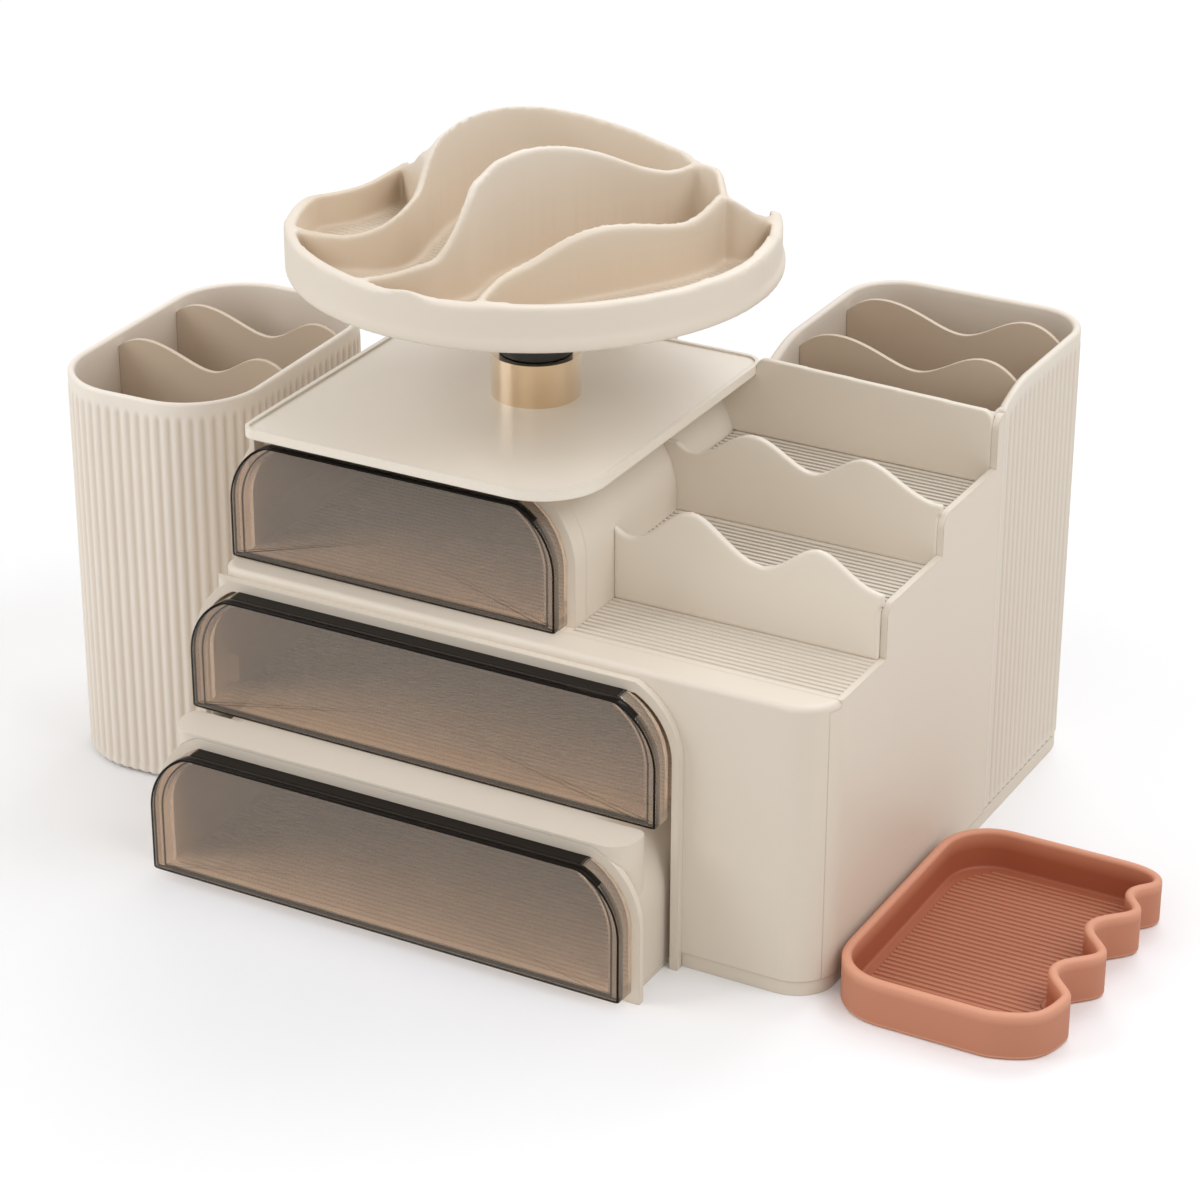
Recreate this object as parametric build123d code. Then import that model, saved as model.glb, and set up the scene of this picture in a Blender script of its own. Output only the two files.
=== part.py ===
from build123d import *
import math
import os

import numpy as np

# Cosmetics organizer: a two-tier block with stepped bays, a third drawer tier on it, a rotating tray on
# a column, a brush cup and a loose tray. Sizes are millimetres from the block's right side (X), front (Y)
# and floor (Z); save() shifts the origin to the middle of the base.

# block
block_width = 256.0
block_depth = 238.0
tier_height = 57.2
block_top = 2 * tier_height
panel = 2.6
deck_thickness = 3.0
deck_under = block_top - deck_thickness
skirt_height = 5.9
plate_thickness = 2.0
skirt_inset = 0.5
front_radius = 16.0
left_radius = 7.0
deck_setback = 10.0
deck_left = deck_setback - block_width
deck_radius = 8.0
edge_softening = 2.2
front_seam = 8.0
ledge_depth = 13.0
side_seam = 146.7

# drawers and the arch they share
straight_height = 22.3
arch_radius = 26.7
front_height = 47.0
drawer_proud = 9.8
front_gap = 0.3
front_thickness = 3.6
body_inset = 3.8
body_wall = 1.8
floor_thickness = 2.4
body_below_front_top = 0.8
slide_clearance = 0.5
runner_thickness = 0.6
runner_gap = 0.3
runner_width = 6.0
runner_edge = 18.0
corner_softening = 2.0
rib_pitch = 2.75
rib_depth = 0.5
rib_share = 0.45

middle_body_half = 101.45
middle_centre = middle_body_half - block_width
inner_wall_setback = 0.9
inner_wall_right = middle_centre + middle_body_half - inner_wall_setback

top_shift = 22.7
top_centre = middle_centre - top_shift
top_half = 68.05
top_rim_y = 17.5
top_rim_depth = 8.3
top_box_top = 168.6
top_box_back = 149.0
top_body_back = 141.0
top_box_wall = 1.8
top_shoulder = 65.05
top_shoulder_radius = 5.0
shoulder_wall = 2.2
shoulder_low = 149.0
shoulder_pocket = 38.0
shoulder_recess = 5.5
top_bottom = block_top + runner_thickness + runner_gap

middle_half = 96.95
middle_rim_y = -3.4
middle_body_back = 136.0
lower_roof = 60.0
middle_bottom = lower_roof + runner_thickness + runner_gap
middle_opening_top = 107.0

bottom_shift = 1.1
bottom_centre = middle_centre - bottom_shift
bottom_half = 98.35
bottom_front_height = 50.3
bottom_straight = 25.6
bottom_rim_y = -30.0
bottom_rim_depth = 3.0
bottom_body_back = 136.0
tunnel_floor = 3.7
tunnel_wall = 1.5
tunnel_back = 141.0
ledge_back = -13.5
ledge_inset = 1.0
ledge_corners = (10.0, 10.0, 4.0, 4.0)
bottom_bottom = tunnel_floor + runner_thickness + runner_gap

rim_wall = 2.8
rim_radius = 31.0
middle_leg_inner = 98.0
middle_rim_half = 101.05
middle_rim_top = 111.2
middle_rim_setback = 8.5
middle_rim_left = middle_rim_setback - block_width
middle_rim_corner = 7.0
bottom_rim_top = 58.6
top_rim_top = 168.0
top_body_half = top_half + rim_wall

stop_thickness = 3.0
stop_width = 40.0
stop_drop = 8.0
top_stop_y = 44.0
middle_stop_y = 30.0
bottom_stop_y = 4.0

# stepped bays: floors, walls and the wavy tops
bay_left = top_centre + top_body_half
bay_right = -panel
bay_end = -1.2
tread_middle = 130.2
tread_rise = 14.0
tread_back = tread_middle + tread_rise
tread_thickness = 2.4
riser_front = 48.9
riser_back = 97.0
wall_thickness = 2.9
wall_lap = 1.4
back_wall_y = 141.0
shoulder_reach = 30.0
back_wall_inset = 9.2
back_wall_left = bay_left + back_wall_inset
back_wall_low = 168.0
back_wall_top = (175.5, 172.7)
side_tread_rise = 4.8
side_tread_middle = tread_middle + side_tread_rise
side_step = 15.8
side_tread_back = side_tread_middle + side_step
side_back_rise = 20.2
side_top = side_tread_back + side_back_rise
riser_side_front = 48.5
riser_side_back = 94.6
side_rounding = 5.0
front_wave = ((0, 12.3), (0.073, 9.6), (0.18, 17.3), (0.283, 23.8), (0.41, 16.8), (0.57, 9.6), (0.663, 15.3),
              (0.754, 20.5), (0.876, 14.3), (1, 9.4))
middle_wave = ((0, 13), (0.092, 10.3), (0.18, 15.8), (0.286, 21.2), (0.402, 17), (0.531, 11.7), (0.615, 16.3),
               (0.7, 20.9), (0.837, 15.8), (1, 10.3))

# rear tower
tower_left = -96.5
tower_front = 144.0
tower_top = 178.0
tower_front_top = 171.0
tower_curve_y = 170.0
tower_radius = 23.0
tower_wall = 3.4
tower_floor = 70.0
tower_floor_thickness = 2.4
flute_pitch = 4.4
flute_depth = 0.9
flute_stop = 4.0
divider_thickness = 2.0
fit_gap = 0.1
tower_divider_first = 25.0
tower_divider_last = 27.0
tower_divider_ys = (tower_front + tower_divider_first, block_depth - tower_divider_last)
tower_wave = ((0, 171.5), (0.17, 178.5), (0.36, 174.8), (0.55, 170.6), (0.74, 178.2), (1, 172.5))

# platform, column, bearing and the rotating tray
platform_left_reach = 56.25
platform_right_reach = 79.25
platform_left = top_centre - platform_left_reach
platform_right = top_centre + platform_right_reach
platform_front = -1.0
platform_back = 150.0
platform_thickness = 3.0
platform_lip = 0.8
platform_lip_width = 1.6
platform_corners = (5.0, 25.0, 8.0, 8.0)
platform_top = top_box_top + platform_thickness
turn_shift = 19.25
turn_x = top_centre + turn_shift
turn_y = 81.0
column_radius = 16.65
column_top = 188.1
column_bore = 13.0
column_floor = 4.0
spindle_radius = 8.0
running_clearance = 0.05
bearing_gap = 0.3
hub_radius = 13.5
tray_radius = 90.0
tray_bottom = 222.3
tray_floor = 226.5
tray_rim_top = 238.9
tray_rim_wall = 4.6
tray_wall = 3.2
tray_slab_top = 275.0
column_screw_radius = 2.0
column_screw_head = 4.0

# brush cup
cup_reach = 48.4
cup_x = -block_width - cup_reach
cup_y = 87.7
cup_width = 81.2
cup_length = 127.0
cup_radius = 31.0
cup_turn = 1.8
cup_height = 161.1
cup_wall = 3.0
cup_floor = 3.0
cup_foot = 1.2
cup_foot_inset = 4.0
cup_divider_offsets = (-10.7, 30.3)
cup_wave = ((0, 156), (0.19, 160.5), (0.4, 156), (0.59, 153), (0.78, 160.3), (1, 158))

# loose tray
loose_left = 2.5
loose_front = -2.7
loose_back = 119.5
loose_height = 18.0
loose_wall = 3.6
loose_floor = 2.6
loose_radius = 21.0
loose_wave = ((66, -2.7), (78, 2), (85, 12), (86, 22), (82, 32), (77.5, 38), (81, 46), (86, 56.5),
              (82.5, 65), (77.5, 71.5), (82, 81), (86, 91), (82, 97), (81, 100), (84.5, 104.5), (86, 110),
              (80, 117), (70, 119.5))

# rear bin
bin_edge = 3.0
bin_width = 80.0
bin_left = deck_left + bin_edge
bin_right = bin_left + bin_width
bin_front = 153.0
bin_back_gap = 24.0
bin_back = block_depth - bin_back_gap
bin_top = 188.0
bin_wall = 2.4
bin_radius = 14.0

# posts, screws and feet
post_radius = 4.5
post_back_gap = 18.0
post_back = block_depth - post_back_gap
post_clear = 10.0
post_left = 33.0
post_places = ((inner_wall_right + post_clear, 22.0), (-12.0, 118.0), (post_left - block_width, post_back),
               (-112.0, post_back))
screw_radius = 1.5
screw_length = 14.0
screw_head_radius = 3.0
screw_head_height = 1.2
foot_radius = 9.0
foot_depth = 1.2
foot_back_gap = 40.0
foot_back = block_depth - foot_back_gap
foot_side_gap = 24.0
foot_left = foot_side_gap - block_width
foot_places = ((-22.0, 60.0), (-24.0, foot_back), (foot_left, foot_back), (foot_left, -10.0), (-80.0, -10.0))

# rotating tray walls: each path gives x and y from the axis and the height of its top above the rim
rim_path = [(-82.5, -18.9), (-77, -41), (-64, -60.5), (-45.5, -74.5), (-23, -84), (0, -87.3), (23.5, -84.2),
            (45.5, -74.4), (63.5, -59.5), (77.4, -40), (85.4, -19), (87.2, 3), (83, 25), (72.3, 47.8)]
inner_path = [(25.2, -82.7, 0), (28.3, -51.2, 5.5), (41.1, -29.7, 12.5), (50, -16, 11.3), (59.9, 3.3, 8),
              (61.7, 28, 9)]
middle_path = [(-22.7, -83.5, 0), (-11.5, -73, 1.5), (-4.5, -66.3, 4.3), (-0.8, -58, 10), (1.3, -50.7, 21),
               (-0.5, -36.3, 27.2), (-0.1, -25.8, 29.2), (4.4, -7.9, 29.4), (16.7, 14.4, 23.4),
               (27.1, 25.3, 17),
               (37.5, 36.2, 13.5), (42.5, 44.1, 14)]
outer_path = [(-81, -45, 0), (-73.1, -48.2, 0), (-58.3, -50.8, 0), (-43.7, -47.4, 1.6), (-35.4, -40.2, 6),
              (-33.9, -31.6, 9), (-36.5, -19.2, 12), (-39, -9, 17.5)]
pocket_path = [(-82.5, -18.9, 0), (-76.5, -10.5, 0), (-73, -1.9, 0), (-71.8, 10.7, 0), (-72.5, 28.8, 0)]
kink_path = [(-72.5, 28.8, 0), (-63.2, 17.5, 4.4), (-52.2, 5.1, 12), (-39, -9, 20)]
lobe_path = [(-39, -9, 20), (-41.6, 3, 22.5), (-43.4, 17, 22.9), (-42.9, 32.8, 22.8), (-39, 46, 22),
             (-30.5, 55.1, 21), (-17.1, 60.5, 19.3), (-1, 61.2, 17.5), (16.9, 58.7, 15.2), (26.6, 55.9, 14.2),
             (34.2, 49.8, 15.4), (42.5, 44.1, 15.5), (54.2, 37.7, 15), (61.7, 28, 14), (68.7, 24.6, 10),
             (72.9, 31.1, 4), (72.3, 47.8, 0)]
path_samples = 30
surface_samples = 25
spread = 6.0


def slab(x0, x1, y0, y1, z0, z1):
    """Box between pairs of limits."""
    return Pos((x0 + x1) / 2, (y0 + y1) / 2, (z0 + z1) / 2) * Box(x1 - x0, y1 - y0, z1 - z0)


def rounded_plan(x0, x1, y0, y1, corners):
    """Rectangle in plan with its own radius at front left, front right, back right and back left."""
    face = Pos((x0 + x1) / 2, (y0 + y1) / 2) * Rectangle(x1 - x0, y1 - y0)
    places = ((x0, y0), (x1, y0), (x1, y1), (x0, y1))
    for place, radius in zip(places, corners):
        if radius > 0:
            corner = face.vertices().sort_by_distance((place[0], place[1], 0))[0]
            face = fillet(corner, radius)
    return face


def upright(face, z0, z1):
    """Plan outline pulled up between two heights."""
    return extrude(Pos(0, 0, z0) * face, amount=z1 - z0)


def along_y(face, y0, y1):
    """Outline drawn with X across and Y up, stood upright and carried back from y0 to y1."""
    place = Plane(origin=(0, y0, 0), x_dir=(1, 0, 0), z_dir=(0, -1, 0))
    return extrude(place * face, amount=-(y1 - y0))


def arch(centre, half, z0, z1, arc_start, radius, soft=0.0):
    """Arch outline: straight sides to arc_start, then an arc that the flat top cuts off."""
    rise = min((z1 - arc_start) / radius, 1.0)
    angle = math.asin(rise)
    pivot = half - radius
    points = []
    for side in (1, -1):
        start = (centre + side * half, arc_start)
        bend = angle / 2
        middle = (centre + side * (pivot + radius * math.cos(bend)), arc_start + radius * math.sin(bend))
        end = (centre + side * (pivot + radius * math.cos(angle)), z1)
        points.append((start, middle, end))
    right, left = points
    lines = Line((left[0][0], z0), (right[0][0], z0))
    lines += Line((right[0][0], z0), right[0])
    lines += ThreePointArc(*right)
    lines += Line(right[2], left[2])
    lines += ThreePointArc(left[2], left[1], left[0])
    lines += Line(left[0], (left[0][0], z0))
    face = make_face(lines)
    if soft > 0:
        low = face.vertices().sort_by(Axis.Y)[:2]
        face = fillet(low, soft)
    return face


def arc_reach(height, straight):
    """How far in from the side the arc meets the flat top."""
    drop = height - straight
    return arch_radius - math.sqrt(arch_radius ** 2 - drop ** 2)


def grooves(x0, x1, y0, y1, top):
    """Fine grooves along X for a ribbed floor."""
    count = int((y1 - y0) / rib_pitch)
    start = (y0 + y1 - (count - 1) * rib_pitch) / 2
    width = rib_pitch * rib_share
    cut = slab(x0, x1, start - width / 2, start + width / 2, top - rib_depth, top + rib_depth)
    return [Pos(0, i * rib_pitch, 0) * cut for i in range(count)]


def fluted(plan, z0, z1):
    """Column of convex flutes round a plan outline: the crests lie on the outline."""
    rim = plan.face().outer_wire()
    count = round(rim.length / flute_pitch)
    lines = []
    centre = plan.face().center()
    roots = []
    crests = []
    for i in range(count):
        for share, depth, points in ((i, flute_depth, roots), (i + 0.5, 0.0, crests)):
            point = rim.position_at(share / count)
            side = rim.tangent_at(share / count).rotate(Axis.Z, 90)
            if (point + side - centre).length > (point - centre).length:
                side = -side
            points.append(point + side * depth)
    for i in range(count):
        lines.append(ThreePointArc(roots[i], crests[i], roots[(i + 1) % count]))
    return upright(make_face(lines), z0, z1)


def wavy_wall(points, z0, y0, y1, right_end=None, step=None, reach=0.0):
    """Upright wall with a wavy top edge, cut back at its lower right corner and lengthened to its left."""
    top = Spline(*points)
    x0 = points[0][0] - reach
    x1 = points[-1][0]
    lines = top + Line((x0, z0), (x0, points[0][1]))
    if reach > 0:
        lines += Line((x0, points[0][1]), points[0])
    if right_end is None:
        lines += Line((x0, z0), (x1, z0)) + Line((x1, z0), points[-1])
    else:
        lines += Line((x0, z0), (right_end, z0)) + Line((right_end, z0), (right_end, step))
        lines += Line((right_end, step), (x1, step)) + Line((x1, step), points[-1])
    return along_y(make_face(lines), y0, y1)


def save(name, solid):
    """Writes one named piece with the origin in the middle of the base."""
    export_step(Pos(block_width / 2, -block_depth / 2, 0) * solid, "parts/" + name + ".step")


def block_plan(inset=0.0):
    """Plan of the block, shrunk by an inset."""
    corners = (left_radius, front_radius, tower_radius, left_radius)
    inner = [max(radius - inset, 0.5) for radius in corners]
    return rounded_plan(-block_width + inset, -inset, inset, block_depth - inset, inner)


def deck_plan():
    """Plan of the deck, whose left edge stands in from the block's left side."""
    return rounded_plan(deck_left, 0, 0, block_depth, (deck_radius, front_radius, tower_radius, deck_radius))


def block_arch(inset=0.0):
    """Arch that the block's left side follows, shrunk by an inset."""
    return arch(middle_centre, middle_body_half - inset, 0, deck_under, middle_bottom + straight_height,
                rim_radius - inset)


def block_outline(inset, y0, y1):
    """Everything under the block's arch, and the square part on its right."""
    return along_y(block_arch(inset), y0, y1) + slab(middle_centre, 0, y0, y1, 0, deck_under)


def shoulder(y0, y1):
    """Fills the space between the left side's arc and the deck's edge."""
    low = middle_bottom + straight_height
    block = upright(deck_plan(), low, deck_under) & slab(deck_left, middle_centre, y0, y1, low, deck_under)
    return block - along_y(block_arch(), y0 - 1, y1 + 1)


def upper_outline(inset=0.0):
    """Arch of the upper tunnel with a squared shoulder on its left, shrunk by an inset."""
    start = top_bottom + straight_height
    top = top_box_top - inset
    face = arch(top_centre, top_body_half - inset, block_top, top, start, rim_radius - inset)
    if inset == 0:
        square = Pos(top_centre - top_shoulder / 2, (start + top) / 2) * Rectangle(top_shoulder, top - start)
        corner = square.vertices().sort_by_distance((top_centre - top_shoulder, top, 0))[0]
        face += fillet(corner, top_shoulder_radius)
    return face


def tunnel_half():
    """Half width of the lower tunnel outside."""
    return bottom_half - body_inset + slide_clearance + tunnel_wall


def lower_outline(inset, low):
    """Arch of the lower tunnel, shrunk by an inset."""
    start = bottom_bottom + bottom_straight
    return arch(bottom_centre, tunnel_half() - inset, low, lower_roof - inset, start, rim_radius - inset)


def lower_rim_outline():
    """Outside of the lower rim."""
    start = bottom_bottom + bottom_straight
    return arch(bottom_centre, bottom_half + rim_wall, 0, bottom_rim_top, start, rim_radius)


def base_plate():
    """Thin plate under everything, a raised skirt round the block and a tongue under the lower tunnel."""
    left = bottom_centre - tunnel_half()
    right = bottom_centre + tunnel_half()
    plate = upright(block_plan(skirt_inset), 0, plate_thickness)
    plate += slab(left, right, bottom_rim_y + bottom_rim_depth, ledge_depth, 0, plate_thickness)
    skirt = upright(block_plan(skirt_inset), 0, skirt_height) - upright(block_plan(panel), 0, skirt_height)
    skirt -= slab(middle_centre - middle_leg_inner, middle_centre + middle_leg_inner, -1, ledge_depth,
                  plate_thickness, skirt_height)
    plate += skirt
    for x, y in foot_places:
        plate -= Pos(x, y, foot_depth / 2) * Cylinder(foot_radius, foot_depth)
    for x, y in post_places:
        plate -= Pos(x, y, plate_thickness / 2) * Cylinder(screw_radius, plate_thickness)
        plate -= Pos(x, y, screw_head_height / 2) * Cylinder(screw_head_radius, screw_head_height)
    return plate


def rubber_feet():
    """Soft pads let in flush under the base plate."""
    return Compound([Pos(x, y, foot_depth / 2) * Cylinder(foot_radius, foot_depth) for x, y in foot_places])


def posts():
    """Screw posts between the base plate and the deck."""
    pilot = screw_length - plate_thickness + screw_head_height
    height = deck_under - plate_thickness
    parts = []
    for x, y in post_places:
        post = Pos(x, y, plate_thickness + height / 2) * Cylinder(post_radius, height)
        post -= Pos(x, y, plate_thickness + pilot / 2) * Cylinder(screw_radius, pilot)
        parts.append(post)
    return Compound(parts)


def base_screws():
    """Countersunk screws from below into the posts."""
    parts = []
    for x, y in post_places:
        screw = Pos(x, y, screw_head_height / 2) * Cylinder(screw_head_radius, screw_head_height)
        screw += Pos(x, y, screw_length / 2) * Cylinder(screw_radius, screw_length)
        parts.append(screw)
    return Compound(parts)


def front_shell():
    """Front plate with the curved right corner, the arched left side, the openings and the ledge on top."""
    outside = upright(block_plan(), skirt_height, deck_under) & block_outline(0, 0, front_seam)
    inside = upright(block_plan(panel), skirt_height, deck_under) & block_outline(panel, 0, front_seam)
    strip = slab(-block_width, 0, 0, ledge_depth, deck_under, block_top)
    ledge = upright(deck_plan(), deck_under, block_top) & strip
    shell = outside - inside + shoulder(0, ledge_depth) + ledge
    top = shell.edges().filter_by(lambda e: abs(e.center().Z - block_top) < 0.01)
    front = top.filter_by(lambda e: e.center().Y < ledge_depth - 1)
    shell = fillet(front, edge_softening)
    opening = arch(middle_centre, middle_leg_inner, skirt_height - 1, middle_opening_top,
                   middle_bottom + straight_height, arch_radius)
    return shell - along_y(opening, -1, front_seam + 1)


def side_profile():
    """Stepped outline of the right side, Y across and Z up."""
    points = [(front_seam, skirt_height), (side_seam, skirt_height), (side_seam, side_top),
              (back_wall_y, side_top), (back_wall_y, side_tread_back), (riser_side_back, side_tread_back),
              (riser_side_back, side_tread_middle), (riser_side_front, side_tread_middle),
              (riser_side_front, block_top), (ledge_depth, block_top), (ledge_depth, deck_under),
              (front_seam, deck_under)]
    face = make_face(Polyline(*points, close=True))
    round_at = ((back_wall_y, side_top), (riser_side_back, side_tread_back),
                (riser_side_front, side_tread_middle))
    for place in round_at:
        corner = face.vertices().sort_by_distance((place[0], place[1], 0))[0]
        face = fillet(corner, side_rounding)
    return face


def side_panel():
    """Right side panel: the stepped outline, bent round the front corner."""
    top = side_top + 1
    band = upright(block_plan(), skirt_height, top) - upright(block_plan(panel), skirt_height, top)
    place = Plane(origin=(0, 0, 0), x_dir=(0, 1, 0), z_dir=(1, 0, 0))
    return band & extrude(place * side_profile(), amount=-front_radius)


def left_panel():
    """Left wall of the block, which curves in under the deck."""
    back = block_depth - panel
    wall = along_y(block_arch(), front_seam, back) - along_y(block_arch(panel), front_seam, back)
    reach = middle_centre - middle_body_half + rim_radius
    wall &= slab(-block_width, reach, front_seam, back, skirt_height, deck_under)
    return wall & upright(block_plan(), skirt_height, deck_under)


def rear_panel():
    """Back wall from the left side to the tower."""
    back = slab(-block_width, tower_left, block_depth - panel, block_depth, skirt_height, deck_under)
    back &= block_outline(0, block_depth - panel, block_depth)
    return back & upright(block_plan(), skirt_height, deck_under)


def inner_wall():
    """Wall between the drawers and the hollow right bay."""
    left = inner_wall_right - panel
    return slab(left, inner_wall_right, panel, tower_front, plate_thickness, deck_under)


def deck():
    """Plate on top of the block; its right front part is the ribbed floor of the first bay."""
    plate = upright(deck_plan(), deck_under, block_top)
    plate -= slab(-block_width, 0, 0, ledge_depth, deck_under, block_top)
    plate -= slab(-panel, 0, 0, block_depth, deck_under, block_top)
    corner = slab(-front_radius, 0, 0, front_radius, deck_under, block_top)
    plate -= corner - upright(block_plan(panel), deck_under, block_top)
    plate -= slab(tower_left, 0, tower_front, block_depth, deck_under, block_top)
    lines = grooves(bay_left, bay_right, ledge_depth + wall_lap, riser_front - wall_thickness, block_top)
    return plate + shoulder(ledge_depth, block_depth) - lines


def middle_rim():
    """Arch collar of the middle drawer, round in plan at its left, with legs beside the lower tunnel."""
    arc_start = middle_bottom + straight_height
    outer = arch(middle_centre, middle_rim_half, 0, middle_rim_top, arc_start, rim_radius)
    opening = arch(middle_centre, middle_leg_inner, -1, middle_opening_top, arc_start, arch_radius)
    corner = rounded_plan(middle_rim_left, middle_centre, middle_rim_y, ledge_depth,
                          (middle_rim_corner, 0, 0, 0))
    square = upright(corner, arc_start, middle_rim_top)
    square &= slab(middle_rim_left, middle_centre, middle_rim_y, 0, arc_start, middle_rim_top)
    return along_y(outer, middle_rim_y, 0) + square - along_y(opening, middle_rim_y - 1, 1)


def lower_tunnel():
    """Arch body that stands forward of the block, with a ledge on it that is round in plan at its corners."""
    front = bottom_rim_y + bottom_rim_depth
    low = bottom_bottom + bottom_straight
    half = tunnel_half() - ledge_inset
    plan = rounded_plan(bottom_centre - half, bottom_centre + half, bottom_rim_y, ledge_back, ledge_corners)
    body = along_y(lower_outline(0, plate_thickness), front, tunnel_back)
    body += upright(plan, low, lower_roof) - along_y(lower_rim_outline(), bottom_rim_y - 1, front)
    return body - along_y(lower_outline(tunnel_wall, tunnel_floor), front, tunnel_back - tunnel_wall)


def lower_rim():
    """Arch collar of the bottom drawer, glued to the front of the lower tunnel."""
    half = bottom_half - body_inset + slide_clearance
    top = bottom_bottom + bottom_front_height - body_below_front_top
    opening = arch(bottom_centre, half, tunnel_floor, top, bottom_bottom + bottom_straight, arch_radius)
    y1 = bottom_rim_y + bottom_rim_depth
    return along_y(lower_rim_outline(), bottom_rim_y, y1) - along_y(opening, bottom_rim_y - 1, y1 + 1)


def upper_tunnel():
    """Arch body on the deck for the top drawer, with a squared left shoulder."""
    y0 = top_rim_y + top_rim_depth
    body = along_y(upper_outline(), y0, top_box_back)
    body -= along_y(upper_outline(top_box_wall), y0 - 1, top_box_back - top_box_wall)
    z = top_box_top - top_box_wall / 2
    return body - Pos(turn_x, turn_y, z) * Cylinder(column_screw_radius, top_box_wall)


def upper_rim():
    """Arch collar of the top drawer with a recess beside its left shoulder."""
    arc_start = top_bottom + straight_height
    y1 = top_rim_y + top_rim_depth
    half = top_half - body_inset + slide_clearance
    roof = top_bottom + front_height - body_below_front_top
    opening = arch(top_centre, half, block_top, roof, arc_start, arch_radius)
    left = top_centre - top_shoulder + shoulder_wall
    pocket = slab(left, left + shoulder_pocket, top_rim_y, top_rim_y + shoulder_recess, shoulder_low,
                  top_box_top - shoulder_wall)
    above = slab(left - rim_radius, bay_left, top_rim_y, y1, top_rim_top, top_box_top)
    collar = along_y(upper_outline(), top_rim_y, y1) - above
    return collar - along_y(opening, top_rim_y - 1, y1 + 1) - pocket


def drawer(centre, half, bottom, height, straight, rim_y, back):
    """Open-topped drawer: a proud arch front, then a narrower body with the same curved sides."""
    arc_start = bottom + straight
    front = rim_y - drawer_proud
    top = bottom + height
    body_top = top - body_below_front_top - slide_clearance
    head = along_y(arch(centre, half, bottom, top, arc_start, arch_radius, corner_softening), front,
                   rim_y - front_gap)
    face = arch(centre, half - body_inset, bottom, body_top, arc_start, arch_radius, corner_softening)
    body = along_y(face, rim_y - front_gap, back)
    shell = head + body
    inside = half - body_inset - body_wall
    hollow = arch(centre, inside, bottom + floor_thickness, body_top - body_wall, arc_start,
                  arch_radius - body_wall, corner_softening / 2)
    shell -= along_y(hollow, front + front_thickness, back - body_wall)
    slot = half - arc_reach(height, straight)
    shell -= slab(centre - slot, centre + slot, front + front_thickness, back - body_wall, arc_start, top + 1)
    lines = grooves(centre - inside + corner_softening, centre + inside - corner_softening,
                    front + front_thickness + body_wall, back - 2 * body_wall, bottom + floor_thickness)
    return shell - lines


def runners(centre, half, z, y0, y1):
    """Two slick strips under one drawer."""
    parts = []
    for side in (-1, 1):
        middle = centre + side * (half - runner_edge)
        x0, x1 = middle - runner_width / 2, middle + runner_width / 2
        parts.append(slab(x0, x1, y0, y1, z, z + runner_thickness))
    return Compound(parts)


def side_rails(wall_left, wall_right, centre, half, z0, z1, y0, y1):
    """Two rails that keep one drawer from shifting sideways."""
    reach = half - body_inset + slide_clearance
    left = slab(wall_left, centre - reach, y0, y1, z0, z1)
    right = slab(centre + reach, wall_right, y0, y1, z0, z1)
    return Compound([left, right])


def stop_bar(centre, roof, bottom, height, y):
    """Bar under a roof that catches the drawer's back wall."""
    low = bottom + height - body_below_front_top - slide_clearance - stop_drop
    return slab(centre - stop_width / 2, centre + stop_width / 2, y, y + stop_thickness, low, roof)


def step_insert():
    """Stair of two ribbed treads with their risers and a middle web."""
    back = back_wall_y
    y1 = riser_front
    y2 = riser_back
    stair = slab(bay_left, bay_right, y1, y2, tread_middle - tread_thickness, tread_middle)
    stair += slab(bay_left, bay_right, y1, y1 + tread_thickness, block_top, tread_middle)
    stair += slab(bay_left, bay_right, y2, back + wall_thickness, tread_back - tread_thickness, tread_back)
    stair += slab(bay_left, bay_right, y2, y2 + tread_thickness, block_top, tread_back)
    stair += slab(bay_left, bay_right, back, back + wall_thickness, block_top, tread_back)
    middle = (bay_left + bay_right) / 2
    stair += slab(middle - tread_thickness / 2, middle + tread_thickness / 2, y1, back, block_top,
                  tread_middle - tread_thickness)
    lines = grooves(bay_left, bay_right, y1 + wall_lap, y2 - wall_thickness - wall_lap / 2, tread_middle)
    lines += grooves(bay_left, bay_right, y2 + wall_lap, back - wall_lap / 2, tread_back)
    return stair - lines


def bay_wave(wave, floor, low, y1, step):
    """Wavy wall across the bays; wave gives shares of the width and rises above a floor."""
    width = bay_end - bay_left
    points = [(bay_left + share * width, floor + rise) for share, rise in wave]
    y0 = y1 - wall_thickness
    wall = wavy_wall(points, low, y0, y1, bay_right, step, shoulder_reach)
    above = slab(-block_width, platform_right + fit_gap, y0, y1, top_box_top, tower_top + block_top)
    return wall - along_y(upper_outline(), y0 - 1, y1 + 1) - above


def front_wave_wall():
    """Wavy wall behind the first bay."""
    return bay_wave(front_wave, tread_middle, block_top, riser_front, side_tread_middle)


def middle_wave_wall():
    """Wavy wall behind the second bay."""
    return bay_wave(middle_wave, tread_back, tread_middle, riser_back, side_tread_back)


def step_back_wall():
    """Tall wall behind the third bay, in front of the tower."""
    left, right = back_wall_top
    reach = bay_left - shoulder_reach
    points = [(reach, tread_back), (bay_right, tread_back), (bay_right, right), (back_wall_left, left),
              (back_wall_left, back_wall_low), (reach, back_wall_low)]
    face = make_face(Polyline(*points, close=True))
    corners = face.vertices().sort_by_distance((bay_right, right, 0))[:1]
    corners += face.vertices().sort_by_distance((back_wall_left, left, 0))[:1]
    face = fillet(corners, side_rounding - 1)
    wall = along_y(face, back_wall_y, back_wall_y + wall_thickness)
    return wall - along_y(upper_outline(), back_wall_y - 1, back_wall_y + wall_thickness + 1)


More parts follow.
